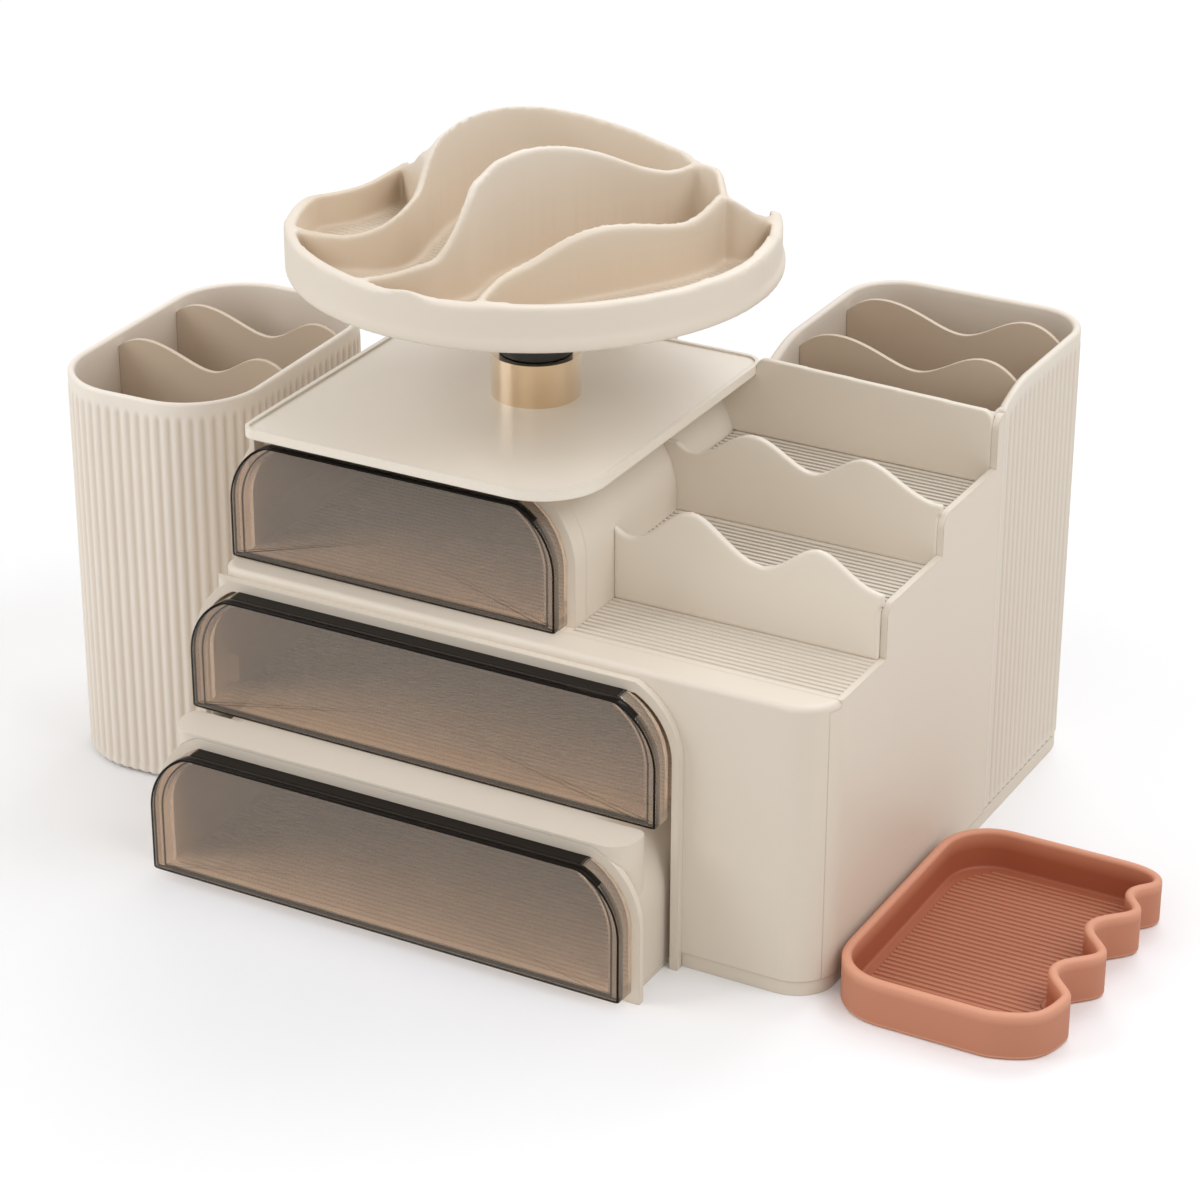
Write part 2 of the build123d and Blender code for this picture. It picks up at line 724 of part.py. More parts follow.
def tower_cut():
    """Space above the tower's rim, which curves down at the front."""
    top = tower_top + 1
    middle = ((tower_front + tower_curve_y) / 2 - 2, tower_top - 2.4)
    curve = Spline((tower_front - 1, tower_front_top), middle, (tower_curve_y, tower_top),
                   tangents=((0.6, 1), (1, 0)))
    lines = curve + Line((tower_curve_y, tower_top), (block_depth + 1, tower_top))
    lines += Line((block_depth + 1, tower_top), (block_depth + 1, top + 1))
    lines += Line((block_depth + 1, top + 1), (tower_front - 1, top + 1))
    lines += Line((tower_front - 1, top + 1), (tower_front - 1, tower_front_top))
    place = Plane(origin=(0, 0, 0), x_dir=(0, 1, 0), z_dir=(1, 0, 0))
    return extrude(place * make_face(lines), amount=-block_width / 2)


def tower():
    """Fluted brush tower that fills the block's right rear corner."""
    plan = rounded_plan(tower_left, 0, tower_front, block_depth, (1, 1, tower_radius, tower_radius))
    inner_radius = tower_radius - tower_wall
    inner = rounded_plan(tower_left + tower_wall, -tower_wall, tower_front + tower_wall,
                         block_depth - tower_wall, (1, 1, inner_radius, inner_radius))
    smooth = rounded_plan(tower_left + flute_depth, -flute_depth, tower_front, block_depth - flute_depth,
                          (1, 1, tower_radius - flute_depth, tower_radius - flute_depth))
    body = fluted(plan, skirt_height, tower_top - flute_stop) + upright(smooth, skirt_height, tower_top)
    body -= upright(inner, tower_floor, tower_top + 1)
    below = tower_floor - tower_floor_thickness
    body -= upright(inner, skirt_height - 1, below)
    body -= slab(-flute_pitch, 1, tower_front - 1, side_seam, skirt_height - 1, tower_top + 1) & \
        slab(-panel, 1, tower_front - 1, side_seam, skirt_height - 1, tower_top + 1)
    body -= slab(tower_left - 1, 1, tower_front - 2, tower_front, skirt_height - 1, tower_top + 1)
    return body - tower_cut()


def wave_divider(x0, x1, y, z0, wave, thickness):
    """Wavy divider across a holder: wave gives shares of the width and heights."""
    points = [(x0 + share * (x1 - x0), height) for share, height in wave]
    return wavy_wall(points, z0, y - thickness / 2, y + thickness / 2)


def tower_divider(index):
    """One divider of the tower, resting on its floor."""
    x0 = tower_left + tower_wall + fit_gap
    x1 = -tower_wall - fit_gap
    return wave_divider(x0, x1, tower_divider_ys[index], tower_floor, tower_wave, divider_thickness)


def platform():
    """Plate on the upper tunnel with a thin raised lip and a hole for the column's screw."""
    plan = rounded_plan(platform_left, platform_right, platform_front, platform_back, platform_corners)
    w = platform_lip_width
    inner = rounded_plan(platform_left + w, platform_right - w, platform_front + w, platform_back - w,
                         [radius - w for radius in platform_corners])
    lip_top = platform_top + platform_lip
    plate = upright(plan, top_box_top, lip_top) - upright(inner, platform_top, lip_top)
    z = top_box_top + platform_thickness / 2
    return plate - Pos(turn_x, turn_y, z) * Cylinder(column_screw_radius, platform_thickness)


def column():
    """Hollow round column; the bearing sits in its bore."""
    height = column_top - platform_top
    body = Pos(turn_x, turn_y, platform_top + height / 2) * Cylinder(column_radius, height)
    depth = height - column_floor
    body -= Pos(turn_x, turn_y, column_top - depth / 2) * Cylinder(column_bore, depth)
    hole = Cylinder(column_screw_radius, column_floor)
    return body - Pos(turn_x, turn_y, platform_top + column_floor / 2) * hole


def bearing():
    """Black sleeve pressed into the column."""
    height = column_top - platform_top - column_floor
    sleeve = Pos(turn_x, turn_y, column_top - height / 2) * Cylinder(column_bore, height)
    bore = Cylinder(spindle_radius + running_clearance, height)
    return sleeve - Pos(turn_x, turn_y, column_top - height / 2) * bore


def column_screw():
    """Screw from inside the upper tunnel up into the column."""
    under = top_box_top - top_box_wall
    top = platform_top + column_floor
    screw = Pos(turn_x, turn_y, (under + top) / 2) * Cylinder(column_screw_radius, top - under)
    head = 1.5
    return screw + Pos(turn_x, turn_y, under - head / 2) * Cylinder(column_screw_head, head)


def turntable_hub():
    """Neck under the rotating tray with the spindle that turns in the bearing."""
    base = platform_top + column_floor + bearing_gap
    neck_low = column_top + bearing_gap
    neck = Pos(turn_x, turn_y, (neck_low + tray_bottom) / 2) * Cylinder(hub_radius, tray_bottom - neck_low)
    return neck + Pos(turn_x, turn_y, (base + neck_low) / 2) * Cylinder(spindle_radius, neck_low - base)


def wall_paths():
    """All wall paths of the rotating tray that rise above its rim."""
    return [inner_path, middle_path, outer_path, pocket_path, kink_path, lobe_path]


def tray_skin():
    """Smooth surface through the tops of the tray's walls, as a solid that reaches below the floor."""
    known = [(x, y, 0.0) for x, y in rim_path] + [point for path in wall_paths() for point in path]
    known = np.unique(np.round(np.array(known), 3), axis=0)
    places = known[:, :2]

    def bump(a, b):
        gap = np.hypot(a[:, None, 0] - b[None, :, 0], a[:, None, 1] - b[None, :, 1])
        return np.sqrt(gap ** 2 + spread ** 2)

    matrix = bump(places, places) + np.eye(len(places)) * 0.4
    weight = np.linalg.solve(matrix, known[:, 2])
    reach = tray_radius + 3
    steps = np.linspace(-reach, reach, surface_samples)
    grid = np.array([(a, b) for a in steps for b in steps])
    rise = np.maximum(bump(grid, places) @ weight, 0.0).reshape(len(steps), len(steps))
    rows = [[Vector(float(a), float(b), tray_rim_top + float(rise[i, j]))
             for j, b in enumerate(steps)] for i, a in enumerate(steps)]
    skin = Face.make_surface_from_array_of_points(rows, tol=0.15, min_deg=2, max_deg=3)
    return extrude(skin, amount=tray_slab_top - tray_bottom, dir=(0, 0, -1))


def wall_band(path, width):
    """Plan of a wall that follows a path with even thickness."""
    spine = Spline(*[(point[0], point[1]) for point in path])
    steps = [i / path_samples for i in range(path_samples + 1)]
    left = []
    right = []
    for step in steps:
        side = spine.tangent_at(step).rotate(Axis.Z, 90) * (width / 2)
        left.append(spine.position_at(step) + side)
        right.append(spine.position_at(step) - side)
    lines = [Spline(*left), Line(left[-1], right[-1]), Spline(*right[::-1]), Line(right[0], left[0])]
    return make_face(lines)


def turntable_tray():
    """Round tray with a low rim at the front and swirling walls that rise to the middle."""
    disc = Circle(tray_radius)
    floor = upright(disc, tray_bottom, tray_floor)
    walls = None
    for path in wall_paths():
        piece = upright(wall_band(path, tray_wall), tray_bottom + 1, tray_slab_top)
        walls = piece if walls is None else walls + piece
    rim = wall_band(rim_path, tray_rim_wall)
    walls += upright(rim, tray_bottom + 1, tray_slab_top)
    walls &= upright(disc, tray_bottom, tray_slab_top)
    walls &= tray_skin()
    return Pos(turn_x, turn_y, 0) * (floor + walls)


def cup_place():
    """Where the brush cup stands and how it is turned."""
    return Pos(cup_x, cup_y, 0) * Rot(0, 0, cup_turn)


def cup_plan(inset=0.0):
    """Plan of the brush cup about its own middle."""
    return RectangleRounded(cup_width - 2 * inset, cup_length - 2 * inset, cup_radius - inset)


def brush_cup():
    """Fluted cup with a smooth thin rim and a recessed foot."""
    body = fluted(cup_plan(), cup_foot, cup_height - flute_stop)
    body += upright(cup_plan(flute_depth), cup_foot, cup_height)
    body += upright(cup_plan(cup_foot_inset), 0, cup_foot)
    body -= upright(cup_plan(cup_wall), cup_floor, cup_height + 1)
    return cup_place() * body


def cup_divider(index):
    """One wavy divider of the brush cup."""
    half = cup_width / 2 - cup_wall - fit_gap
    y = cup_divider_offsets[index]
    return cup_place() * wave_divider(-half, half, y, cup_floor, cup_wave, divider_thickness)


def loose_plan(inset=0.0):
    """Plan of the loose tray: three round corners and a wavy right side, shrunk by an inset."""
    middle = (loose_front + loose_back) / 2
    share = 1 - 2 * inset / (loose_back - loose_front)
    wave = [(x - inset, middle + (y - middle) * share) for x, y in loose_wave]
    left = loose_left + inset
    front = loose_front + inset
    back = loose_back - inset
    r = loose_radius - inset
    bend = r * (1 - math.sqrt(0.5))
    lines = [Spline(*wave),
             Line(wave[-1], (left + r, back)),
             ThreePointArc((left + r, back), (left + bend, back - bend), (left, back - r)),
             Line((left, back - r), (left, front + r)),
             ThreePointArc((left, front + r), (left + bend, front + bend), (left + r, front)),
             Line((left + r, front), wave[0])]
    return make_face(lines)


def loose_tray():
    """Shallow tray with a ribbed floor."""
    tray = upright(loose_plan(), 0, loose_height)
    tray -= upright(loose_plan(loose_wall), loose_floor, loose_height + 1)
    trench = upright(loose_plan(loose_wall + rib_depth), 0, loose_floor + rib_depth)
    right = max(x for x, y in loose_wave)
    for rib in grooves(loose_left, right, loose_front + loose_wall, loose_back - loose_wall, loose_floor):
        tray -= trench & rib
    return tray


def rear_bin():
    """Open bin on the deck behind the platform."""
    corners = [bin_radius] * 4
    inner = [bin_radius - bin_wall] * 4
    body = upright(rounded_plan(bin_left, bin_right, bin_front, bin_back, corners), block_top, bin_top)
    hollow = rounded_plan(bin_left + bin_wall, bin_right - bin_wall, bin_front + bin_wall,
                          bin_back - bin_wall, inner)
    return body - upright(hollow, block_top + bin_wall, bin_top + 1)


os.makedirs("parts", exist_ok=True)

save("base_plate", base_plate())
save("rubber_feet", rubber_feet())
save("posts", posts())
save("base_screws", base_screws())
save("front_shell", front_shell())
save("side_panel", side_panel())
save("left_panel", left_panel())
save("rear_panel", rear_panel())
save("inner_wall", inner_wall())
save("deck", deck())
save("middle_rim", middle_rim())
save("lower_tunnel", lower_tunnel())
save("lower_rim", lower_rim())
save("upper_tunnel", upper_tunnel())
save("upper_rim", upper_rim())
save("drawer_top", drawer(top_centre, top_half, top_bottom, front_height, straight_height, top_rim_y,
                          top_body_back))
save("drawer_middle", drawer(middle_centre, middle_half, middle_bottom, front_height, straight_height,
                             middle_rim_y, middle_body_back))
save("drawer_bottom", drawer(bottom_centre, bottom_half, bottom_bottom, bottom_front_height, bottom_straight,
                             bottom_rim_y, bottom_body_back))
save("runners_top", runners(top_centre, top_half, block_top, top_rim_y, top_body_back))
save("runners_middle", runners(middle_centre, middle_half, lower_roof, ledge_depth, middle_body_back))
save("runners_bottom", runners(bottom_centre, bottom_half, tunnel_floor, bottom_rim_y + bottom_rim_depth,
                               bottom_body_back))
save("rails_top", side_rails(top_centre - top_body_half + top_box_wall, bay_left - top_box_wall,
                             top_centre, top_half, block_top, top_bottom + straight_height / 2,
                             top_rim_y + top_rim_depth, top_box_back - top_box_wall))
save("rails_middle", side_rails(-block_width + panel, inner_wall_right - panel, middle_centre, middle_half,
                                lower_roof + runner_gap, middle_bottom + straight_height / 2, ledge_depth,
                                middle_body_back))
save("stop_top", stop_bar(top_centre, top_box_top - top_box_wall, top_bottom, front_height, top_stop_y))
save("stop_middle", stop_bar(middle_centre, deck_under, middle_bottom, front_height, middle_stop_y))
save("stop_bottom", stop_bar(bottom_centre, lower_roof - tunnel_wall, bottom_bottom, bottom_front_height,
                             bottom_stop_y))
save("step_insert", step_insert())
save("front_wave_wall", front_wave_wall())
save("middle_wave_wall", middle_wave_wall())
save("step_back_wall", step_back_wall())
save("tower", tower())
save("tower_divider_front", tower_divider(0))
save("tower_divider_back", tower_divider(1))
save("platform", platform())
save("column", column())
save("bearing", bearing())
save("column_screw", column_screw())
save("turntable_hub", turntable_hub())
save("turntable_tray", turntable_tray())
save("brush_cup", brush_cup())
save("cup_divider_front", cup_divider(0))
save("cup_divider_back", cup_divider(1))
save("loose_tray", loose_tray())
save("rear_bin", rear_bin())
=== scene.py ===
import math

import bpy
import numpy as np
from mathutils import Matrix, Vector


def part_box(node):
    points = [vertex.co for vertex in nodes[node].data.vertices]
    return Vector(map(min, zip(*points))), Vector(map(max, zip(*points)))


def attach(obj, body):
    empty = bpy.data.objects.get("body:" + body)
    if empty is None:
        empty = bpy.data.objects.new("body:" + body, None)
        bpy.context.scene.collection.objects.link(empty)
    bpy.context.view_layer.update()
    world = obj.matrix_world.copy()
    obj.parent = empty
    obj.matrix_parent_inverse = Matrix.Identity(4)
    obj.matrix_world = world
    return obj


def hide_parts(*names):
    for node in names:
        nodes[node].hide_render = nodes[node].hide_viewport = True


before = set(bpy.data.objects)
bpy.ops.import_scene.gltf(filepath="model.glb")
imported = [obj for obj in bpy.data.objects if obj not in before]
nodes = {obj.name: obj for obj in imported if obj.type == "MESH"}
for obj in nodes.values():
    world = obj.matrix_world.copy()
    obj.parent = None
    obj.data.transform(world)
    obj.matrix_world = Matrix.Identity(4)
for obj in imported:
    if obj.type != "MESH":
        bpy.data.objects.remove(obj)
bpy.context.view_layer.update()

# White shell of the block
# The panels, deck, tunnels, rear bin and platform of the block, moulded in warm white satin plastic. They meet
# at thin seams, each panel's edges are slightly soft, and the platform is a little glossier, with a lighter
# colour that is painted light.


def set_inputs(tree, node, inputs):
    """Gives each named or numbered input of a node its plain value, or links another node's output to it."""
    for label, value in inputs.items():
        if isinstance(value, bpy.types.NodeSocket):
            tree.links.new(value, node.inputs[label])
        else:
            node.inputs[label].default_value = value


def add_node(tree, kind, inputs, **settings):
    """A new shader node with its settings and inputs."""
    node = tree.nodes.new("ShaderNode" + kind)
    for name, value in settings.items():
        setattr(node, name, value)
    set_inputs(tree, node, inputs)
    return node


def mix_colours(tree, factor, first, second):
    """The colour between two by a factor; inputs 6 and 7 and output 2 are a Mix node's colour sockets."""
    return add_node(tree, "Mix", {"Factor": factor, 6: first, 7: second}, data_type="RGBA").outputs[2]


def effect_group(name, inputs, outputs):
    """An empty shader group with the named sockets, its input node and its output node."""
    group = bpy.data.node_groups.new(name, "ShaderNodeTree")
    for label, kind, value in inputs:
        socket = group.interface.new_socket(label, in_out="INPUT", socket_type="NodeSocket" + kind)
        socket.default_value = value
    for label, kind in outputs:
        group.interface.new_socket(label, in_out="OUTPUT", socket_type="NodeSocket" + kind)
    return group, group.nodes.new("NodeGroupInput"), group.nodes.new("NodeGroupOutput")


def moulded_group():
    """Slow tone drift from one noise, fine grain from another, painted shade by a depth value, and edges
    rounded in the shading.
    """
    group, given, out = effect_group(
        "moulded surface",
        [("Colour", "Color", (0.8, 0.8, 0.8, 1)), ("Deep colour", "Color", (0.7, 0.7, 0.7, 1)),
         ("Drift", "Float", 0.35), ("Grain size", "Float", 900.0), ("Grain height", "Float", 0.04),
         ("Roughness", "Float", 0.4), ("Roughness spread", "Float", 0.08), ("Edge radius", "Float", 0.0006),
         ("Depth", "Float", 0.0), ("Depth colour", "Color", (0.6, 0.5, 0.4, 1))],
        [("Colour", "Color"), ("Roughness", "Float"), ("Normal", "Vector")])
    value = given.outputs
    place = add_node(group, "TexCoord", {}).outputs["Object"]
    slow = add_node(group, "TexNoise", {"Vector": place, "Scale": 14.0, "Detail": 4.0}).outputs["Fac"]
    amount = add_node(group, "Math", {0: slow, 1: value["Drift"]}, operation="MULTIPLY").outputs[0]
    tone = mix_colours(group, amount, value["Colour"], value["Deep colour"])
    # Painted shade: the depth value mixes in a darker, warmer colour where a hollow lies in shade.
    painted_shade = mix_colours(group, value["Depth"], tone, value["Depth colour"])
    grain = {"Vector": place, "Scale": value["Grain size"], "Detail": 3.0}
    fine = add_node(group, "TexNoise", grain).outputs["Fac"]
    spread = {0: fine, 1: value["Roughness spread"], 2: value["Roughness"]}
    rough = add_node(group, "Math", spread, operation="MULTIPLY_ADD").outputs[0]
    soft = add_node(group, "Bevel", {"Radius": value["Edge radius"]}, samples=4).outputs["Normal"]
    bumps = {"Strength": value["Grain height"], "Distance": 0.0004, "Height": fine, "Normal": soft}
    normal = add_node(group, "Bump", bumps).outputs["Normal"]
    set_inputs(group, out, {"Colour": painted_shade, "Roughness": rough, "Normal": normal})
    return group


moulded = moulded_group()


def new_material(name):
    """An empty material, its node tree and its Principled shader."""
    material = bpy.data.materials.new(name)
    material.use_nodes = True
    return material, material.node_tree, material.node_tree.nodes["Principled BSDF"]


def plastic(name, colour, deep, finish=None, **values):
    """Opaque plastic with its colour, roughness and normal from the moulded surface group.

    values are inputs of the group, with underscores for spaces, and finish holds plain inputs of the shader.
    """
    material, tree, shader = new_material(name)
    inputs = {label.replace("_", " "): value for label, value in values.items()}
    inputs.update({"Colour": (*colour, 1), "Deep colour": (*deep, 1)})
    surface = add_node(tree, "Group", inputs, node_tree=moulded).outputs
    set_inputs(tree, shader, {"Base Color": surface["Colour"], "Roughness": surface["Roughness"],
                              "Normal": surface["Normal"], **(finish or {})})
    return material


def dress(material, *names):
    """Puts one material on whole CAD nodes."""
    for name in names:
        mesh = nodes[name].data
        mesh.materials.clear()
        mesh.materials.append(material)


white_shell = plastic("white shell", (0.76, 0.69, 0.605), (0.72, 0.64, 0.55))
white_steps = plastic("white steps", (0.79, 0.725, 0.64), (0.75, 0.675, 0.585), Edge_radius=0.0014)
# The platform's lighter colour is painted light.
lit_white_gloss = plastic("white gloss, painted light", (0.87, 0.81, 0.73), (0.83, 0.76, 0.67),
                      {"Coat Weight": 0.12, "Coat Roughness": 0.2}, Roughness=0.28, Grain_height=0.02)
dress(white_shell, "base_plate", "front_shell", "side_panel", "left_panel", "rear_panel", "inner_wall",
      "deck", "middle_rim", "lower_tunnel", "lower_rim", "upper_tunnel", "upper_rim", "rear_bin", "posts")
dress(white_steps, "step_insert")
dress(lit_white_gloss, "platform")

# Fluted tower and cup
# Moulded in the same plastic, with round flutes that stop short of a smooth rim and an open hollow whose walls
# turn darker and warmer with depth, a painted shade; the flute valleys carry a little painted shade too. The
# tower fills the block's rear corner, and the cup stands on a set-back foot.


def rounded_path(corners, radii, counts=None, spacing=0.45):
    """Closed counterclockwise path through round corners, and its numbers of points on each arc and side.

    Each corner's arc starts and ends radius * tan(turn / 2) from the corner, and arcs and sides get evenly
    spaced points. A path made with the counts of another one pairs with it point by point.
    """
    corners = np.array(corners, float)
    before = corners - np.roll(corners, 1, 0)
    after = np.roll(corners, -1, 0) - corners
    before /= np.linalg.norm(before, axis=1)[:, None]
    after /= np.linalg.norm(after, axis=1)[:, None]
    turn = np.arctan2(before[:, 0] * after[:, 1] - before[:, 1] * after[:, 0], (before * after).sum(1))
    reach = np.array(radii) * np.abs(np.tan(turn / 2))
    starts = corners - before * reach[:, None]
    ends = corners + after * reach[:, None]
    sides = np.roll(starts, -1, 0) - ends
    if counts is None:
        arc_counts = np.maximum(4, np.array(radii) * np.abs(turn) / spacing).astype(int)
        side_counts = np.maximum(1, np.linalg.norm(sides, axis=1) / spacing).astype(int)
        counts = list(zip(arc_counts, side_counts))
    pieces = []
    for i, (arc_count, side_count) in enumerate(counts):
        centre = starts[i] + np.sign(turn[i]) * radii[i] * np.array([-before[i][1], before[i][0]])
        x, y = starts[i] - centre
        angle = np.arange(arc_count) / arc_count * turn[i]
        arc = np.stack([x * np.cos(angle) - y * np.sin(angle), x * np.sin(angle) + y * np.cos(angle)], 1)
        pieces.append(centre + arc)
        pieces.append(ends[i] + sides[i] * (np.arange(side_count) / side_count)[:, None])
    return np.concatenate(pieces), counts


def outward(points):
    """Unit normals of a closed counterclockwise path, from its neighbours on both sides."""
    along = np.roll(points, -1, 0) - np.roll(points, 1, 0)
    along /= np.maximum(np.linalg.norm(along, axis=1), 1e-9)[:, None]
    return np.stack([along[:, 1], -along[:, 0]], 1)


def new_piece(name, points, faces, *materials):
    """A new object from points in mm, its faces and its materials."""
    mesh = bpy.data.meshes.new(name)
    mesh.from_pydata(points / 1000, [], faces)
    for material in materials:
        mesh.materials.append(material)
    piece = bpy.data.objects.new(name, mesh)
    bpy.context.collection.objects.link(piece)
    return piece


def store_shade_depth(piece, values):
    """Keeps one depth value, from 0 to 1, at each point of the mesh: its share of painted shade."""
    layer = piece.data.attributes.new("depth", "FLOAT", "POINT")
    layer.data.foreach_set("value", np.asarray(values, np.float32))


def grid_quads(rows, columns):
    """Faces between the rows of a grid of points whose last column meets its first."""
    i, j = np.meshgrid(np.arange(rows - 1) * columns, np.arange(columns), indexing="ij")
    k = (j + 1) % columns
    return np.stack([i + j, i + k, i + columns + k, i + columns + j], -1).reshape(-1, 4)


def ring_mesh(name, rings, depth, *materials):
    """Closed mesh from stacked rings of equal length, with a fan at both ends; each ring has its depth, its
    share of painted shade.
    """
    rings = np.array(rings)
    rows, columns = rings.shape[:2]
    count = rows * columns
    points = np.concatenate([rings.reshape(-1, 3), [rings[0].mean(0), rings[-1].mean(0)]])
    j = np.arange(columns)
    k = (j + 1) % columns
    last = count - columns
    low = np.stack([np.full(columns, count), k, j], 1)
    high = np.stack([last + j, last + k, np.full(columns, count + 1)], 1)
    faces = grid_quads(rows, columns).tolist() + low.tolist() + high.tolist()
    piece = new_piece(name, points, faces, *materials)
    piece.data.polygons.foreach_set("use_smooth", np.ones(len(faces), bool))
    values = [np.broadcast_to(value, columns) for value in depth]
    store_shade_depth(piece, np.concatenate(values + [[np.mean(depth[0]), np.mean(depth[-1])]]))
    return piece


def painted_shade_plastic(name, colour, deep, painted_shade, **values):
    """The moulded plastic, turning to a darker, warmer painted shade by the mesh's depth values."""
    material = plastic(name, colour, deep, Depth_colour=(*painted_shade, 1), **values)
    tree = material.node_tree
    surface = next(node for node in tree.nodes if node.type == "GROUP")
    read = add_node(tree, "Attribute", {}, attribute_name="depth")
    set_inputs(tree, surface, {"Depth": read.outputs["Fac"]})
    return material


def flute_offset(length, total, pitch=4.4, depth=0.9):
    """Round ribs with narrow valleys: minus depth where the sine of the running length passes zero."""
    count = round(total / pitch)
    wave = np.sin(np.pi * count * length / total)
    soft = 0.02
    return -depth * (1 - np.sqrt(wave ** 2 + soft) / math.sqrt(1 + soft))


def vessel(name, outer, inner, share, bottom, floor, top, material, foot=None, side=0.0, fillet=5.0):
    """Fluted vessel: rows go from the foot up the outer wall, over a round rim and down the hollow to a floor.

    outer and inner are paired paths, share is how much of the flutes each column keeps, top the height of the
    rim and foot the foot's height and inset. Edges follow quarter circles, the rim is half an ellipse between
    the two walls, and the flutes fade out by half a cosine. The depth stored at each row is its share of
    painted
    shade: side is the painted shade on the outer wall, with more in the flute valleys, and down the hollow it
    grows from the rim's to 1. fillet rounds the floor.
    """
    edge_round = 1.4
    rim_height = 1.3
    # rim_shade and valley_shade_share set how much painted shade the rim and the flute valleys get.
    rim_shade = 0.15
    valley_shade_share = 0.45
    plain_band = 4.2
    fade_height = 4.0
    band_inset = 0.25
    normal = outward(outer)
    step = np.linalg.norm(np.roll(outer, -1, 0) - outer, axis=1)
    length = np.concatenate([[0], np.cumsum(step)[:-1]])
    flutes = flute_offset(length, step.sum()) * share
    valley_shade = side - valley_shade_share * flutes
    rings = []
    depth = []

    def ring(path, z, painted_shade=0.0):
        """Adds a row of points at the height z with its depth, its share of painted shade."""
        rings.append(np.column_stack([path, np.broadcast_to(z, len(path))]))
        depth.append(painted_shade)

    base = bottom
    if foot:
        base, set_back = foot
        for more, z in ((0.6, bottom), (0.0, bottom + 0.3), (0.0, base - 0.1), (-0.3, base)):
            ring(outer - normal * (set_back + more), z)
    for t in (0, 0.3, 0.6, 0.85, 1):
        angle = t * math.pi / 2
        inset = edge_round * (1 - math.sin(angle))
        ring(outer + normal * (flutes - inset)[:, None], base + edge_round * (1 - math.cos(angle)))
    low = base + edge_round + 0.1
    high = top - plain_band - fade_height
    for t in np.linspace(0.02, 0.97, 9):
        ring(outer + normal * flutes[:, None], low + (high - low) * t, valley_shade)
    for t in np.linspace(0, 1, 6):
        kept = 0.5 + 0.5 * math.cos(math.pi * t)
        offset = flutes * kept - band_inset * (1 - kept) * share
        ring(outer + normal * offset[:, None], high + fade_height * t, side + (valley_shade - side) * kept)
    for angle in np.linspace(0, math.pi, 11):
        across = 0.5 - 0.5 * math.cos(angle)
        edge = outer - normal * (band_inset * share)[:, None] * (1 - across)
        rise = rim_height * (1 - math.sin(angle))
        ring(edge + (inner - edge) * across, top - rise, rim_shade * across)
    start = top - rim_height
    for t in np.linspace(0.03, 1, 10):
        ring(inner, start + (floor + fillet - start) * t, rim_shade + (1 - rim_shade) * min(1, 2.2 * t))
    inside = outward(inner)
    for t in np.linspace(0.1, 1, 6):
        angle = t * math.pi / 2
        inset = 0.9 * fillet * (1 - math.cos(angle))
        ring(inner - inside * inset, floor + fillet * (1 - math.sin(angle)), 1.0)
    return ring_mesh(name, rings, depth, material)


# The cup's colour is lighter than the shell's, a painted light.
lit_cup_white = painted_shade_plastic("white cup, painted light", (0.86, 0.795, 0.73), (0.82, 0.75, 0.675), (0.50, 0.375, 0.25))
tower_white = painted_shade_plastic("white tower", (0.79, 0.73, 0.665), (0.75, 0.685, 0.61), (0.48, 0.36, 0.24))
# The dividers are the white plastic coloured darker, a painted shade deep in the hollows.
shaded_divider = painted_shade_plastic("white divider, painted shade", (0.62, 0.51, 0.40), (0.58, 0.46, 0.345), (0.5, 0.4, 0.3))


def brush_cup():
    """The cup, turned a little on the table and set left of the block."""
    half_x, half_y, height = 40.6, 63.5, 161.1
    radius, wall, floor = 31.0, 3.0, 3.0
    foot_height, foot_inset = 1.2, 4.0
    centre = np.array([-176.4, -31.3])
    turn = math.radians(1.8)
    corners = np.array([(half_x, -half_y), (half_x, half_y), (-half_x, half_y), (-half_x, -half_y)])
    outer, counts = rounded_path(corners, [radius] * 4)
    inner = rounded_path(corners - wall * np.sign(corners), [radius - wall] * 4, counts)[0]
    turned = np.array([[math.cos(turn), math.sin(turn)], [-math.sin(turn), math.cos(turn)]])
    cup = vessel("cup_shell", outer @ turned + centre, inner @ turned + centre, np.ones(len(outer)), 0.0,
                 floor, height, lit_cup_white, (foot_height, foot_inset))
    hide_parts("brush_cup")
    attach(cup, "brush_cup")


def tower():
    """The tower; its outer path steps in behind the side panel, where it has no flutes.

    Its rim rises from front to back by a quarter of a sine wave, a little fuller at the start.
    """
    x0, x1, y0, y1, wall = 31.5, 128.0, 25.0, 119.0, 3.4
    notch_x, notch_y = 125.4, 27.7
    radius = 23.0
    bottom, floor = 5.9, 70.0
    rim_low, rim_rise, rise_run = 171.0, 7.0, 26.0
    cut_x, cut_y, cut_end = 1.2, 0.3, 1.8
    plain, fade, margin = 1.5, 2, 1
    right, near = x1 - wall, y0 + wall
    left, far = x0 + wall, y1 - wall
    corners = [(x0, y0), (notch_x, y0), (notch_x, notch_y), (x1, notch_y), (x1, y1), (x0, y1)]
    inside = [(left, near), (right - cut_x, near), (right, near + cut_y), (right, near + cut_end),
              (right, far), (left, far)]
    outer, counts = rounded_path(corners, [0.8, 0.3, 0.3, 0.5, radius, radius])
    inner = rounded_path(inside, [0.8, 0.25, 0.2, 0.3, radius - wall, radius - wall], counts)[0]
    x, y = outer.T
    share = np.where(x > x0 + margin, np.clip((y - notch_y - plain) / fade, 0, 1), 1.0)
    share = np.where(y < y0 + margin, 0.0, share)
    reach = np.clip((y - y0) / rise_run, 0, 1)
    top = rim_low + rim_rise * np.sin(reach * math.pi / 2) ** 0.9
    holder = vessel("tower_shell", outer, inner, share, bottom, floor, top, tower_white)
    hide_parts("tower")
    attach(holder, "housing")


brush_cup()
tower()
dress(shaded_divider, "tower_divider_front", "tower_divider_back", "cup_divider_front", "cup_divider_back")
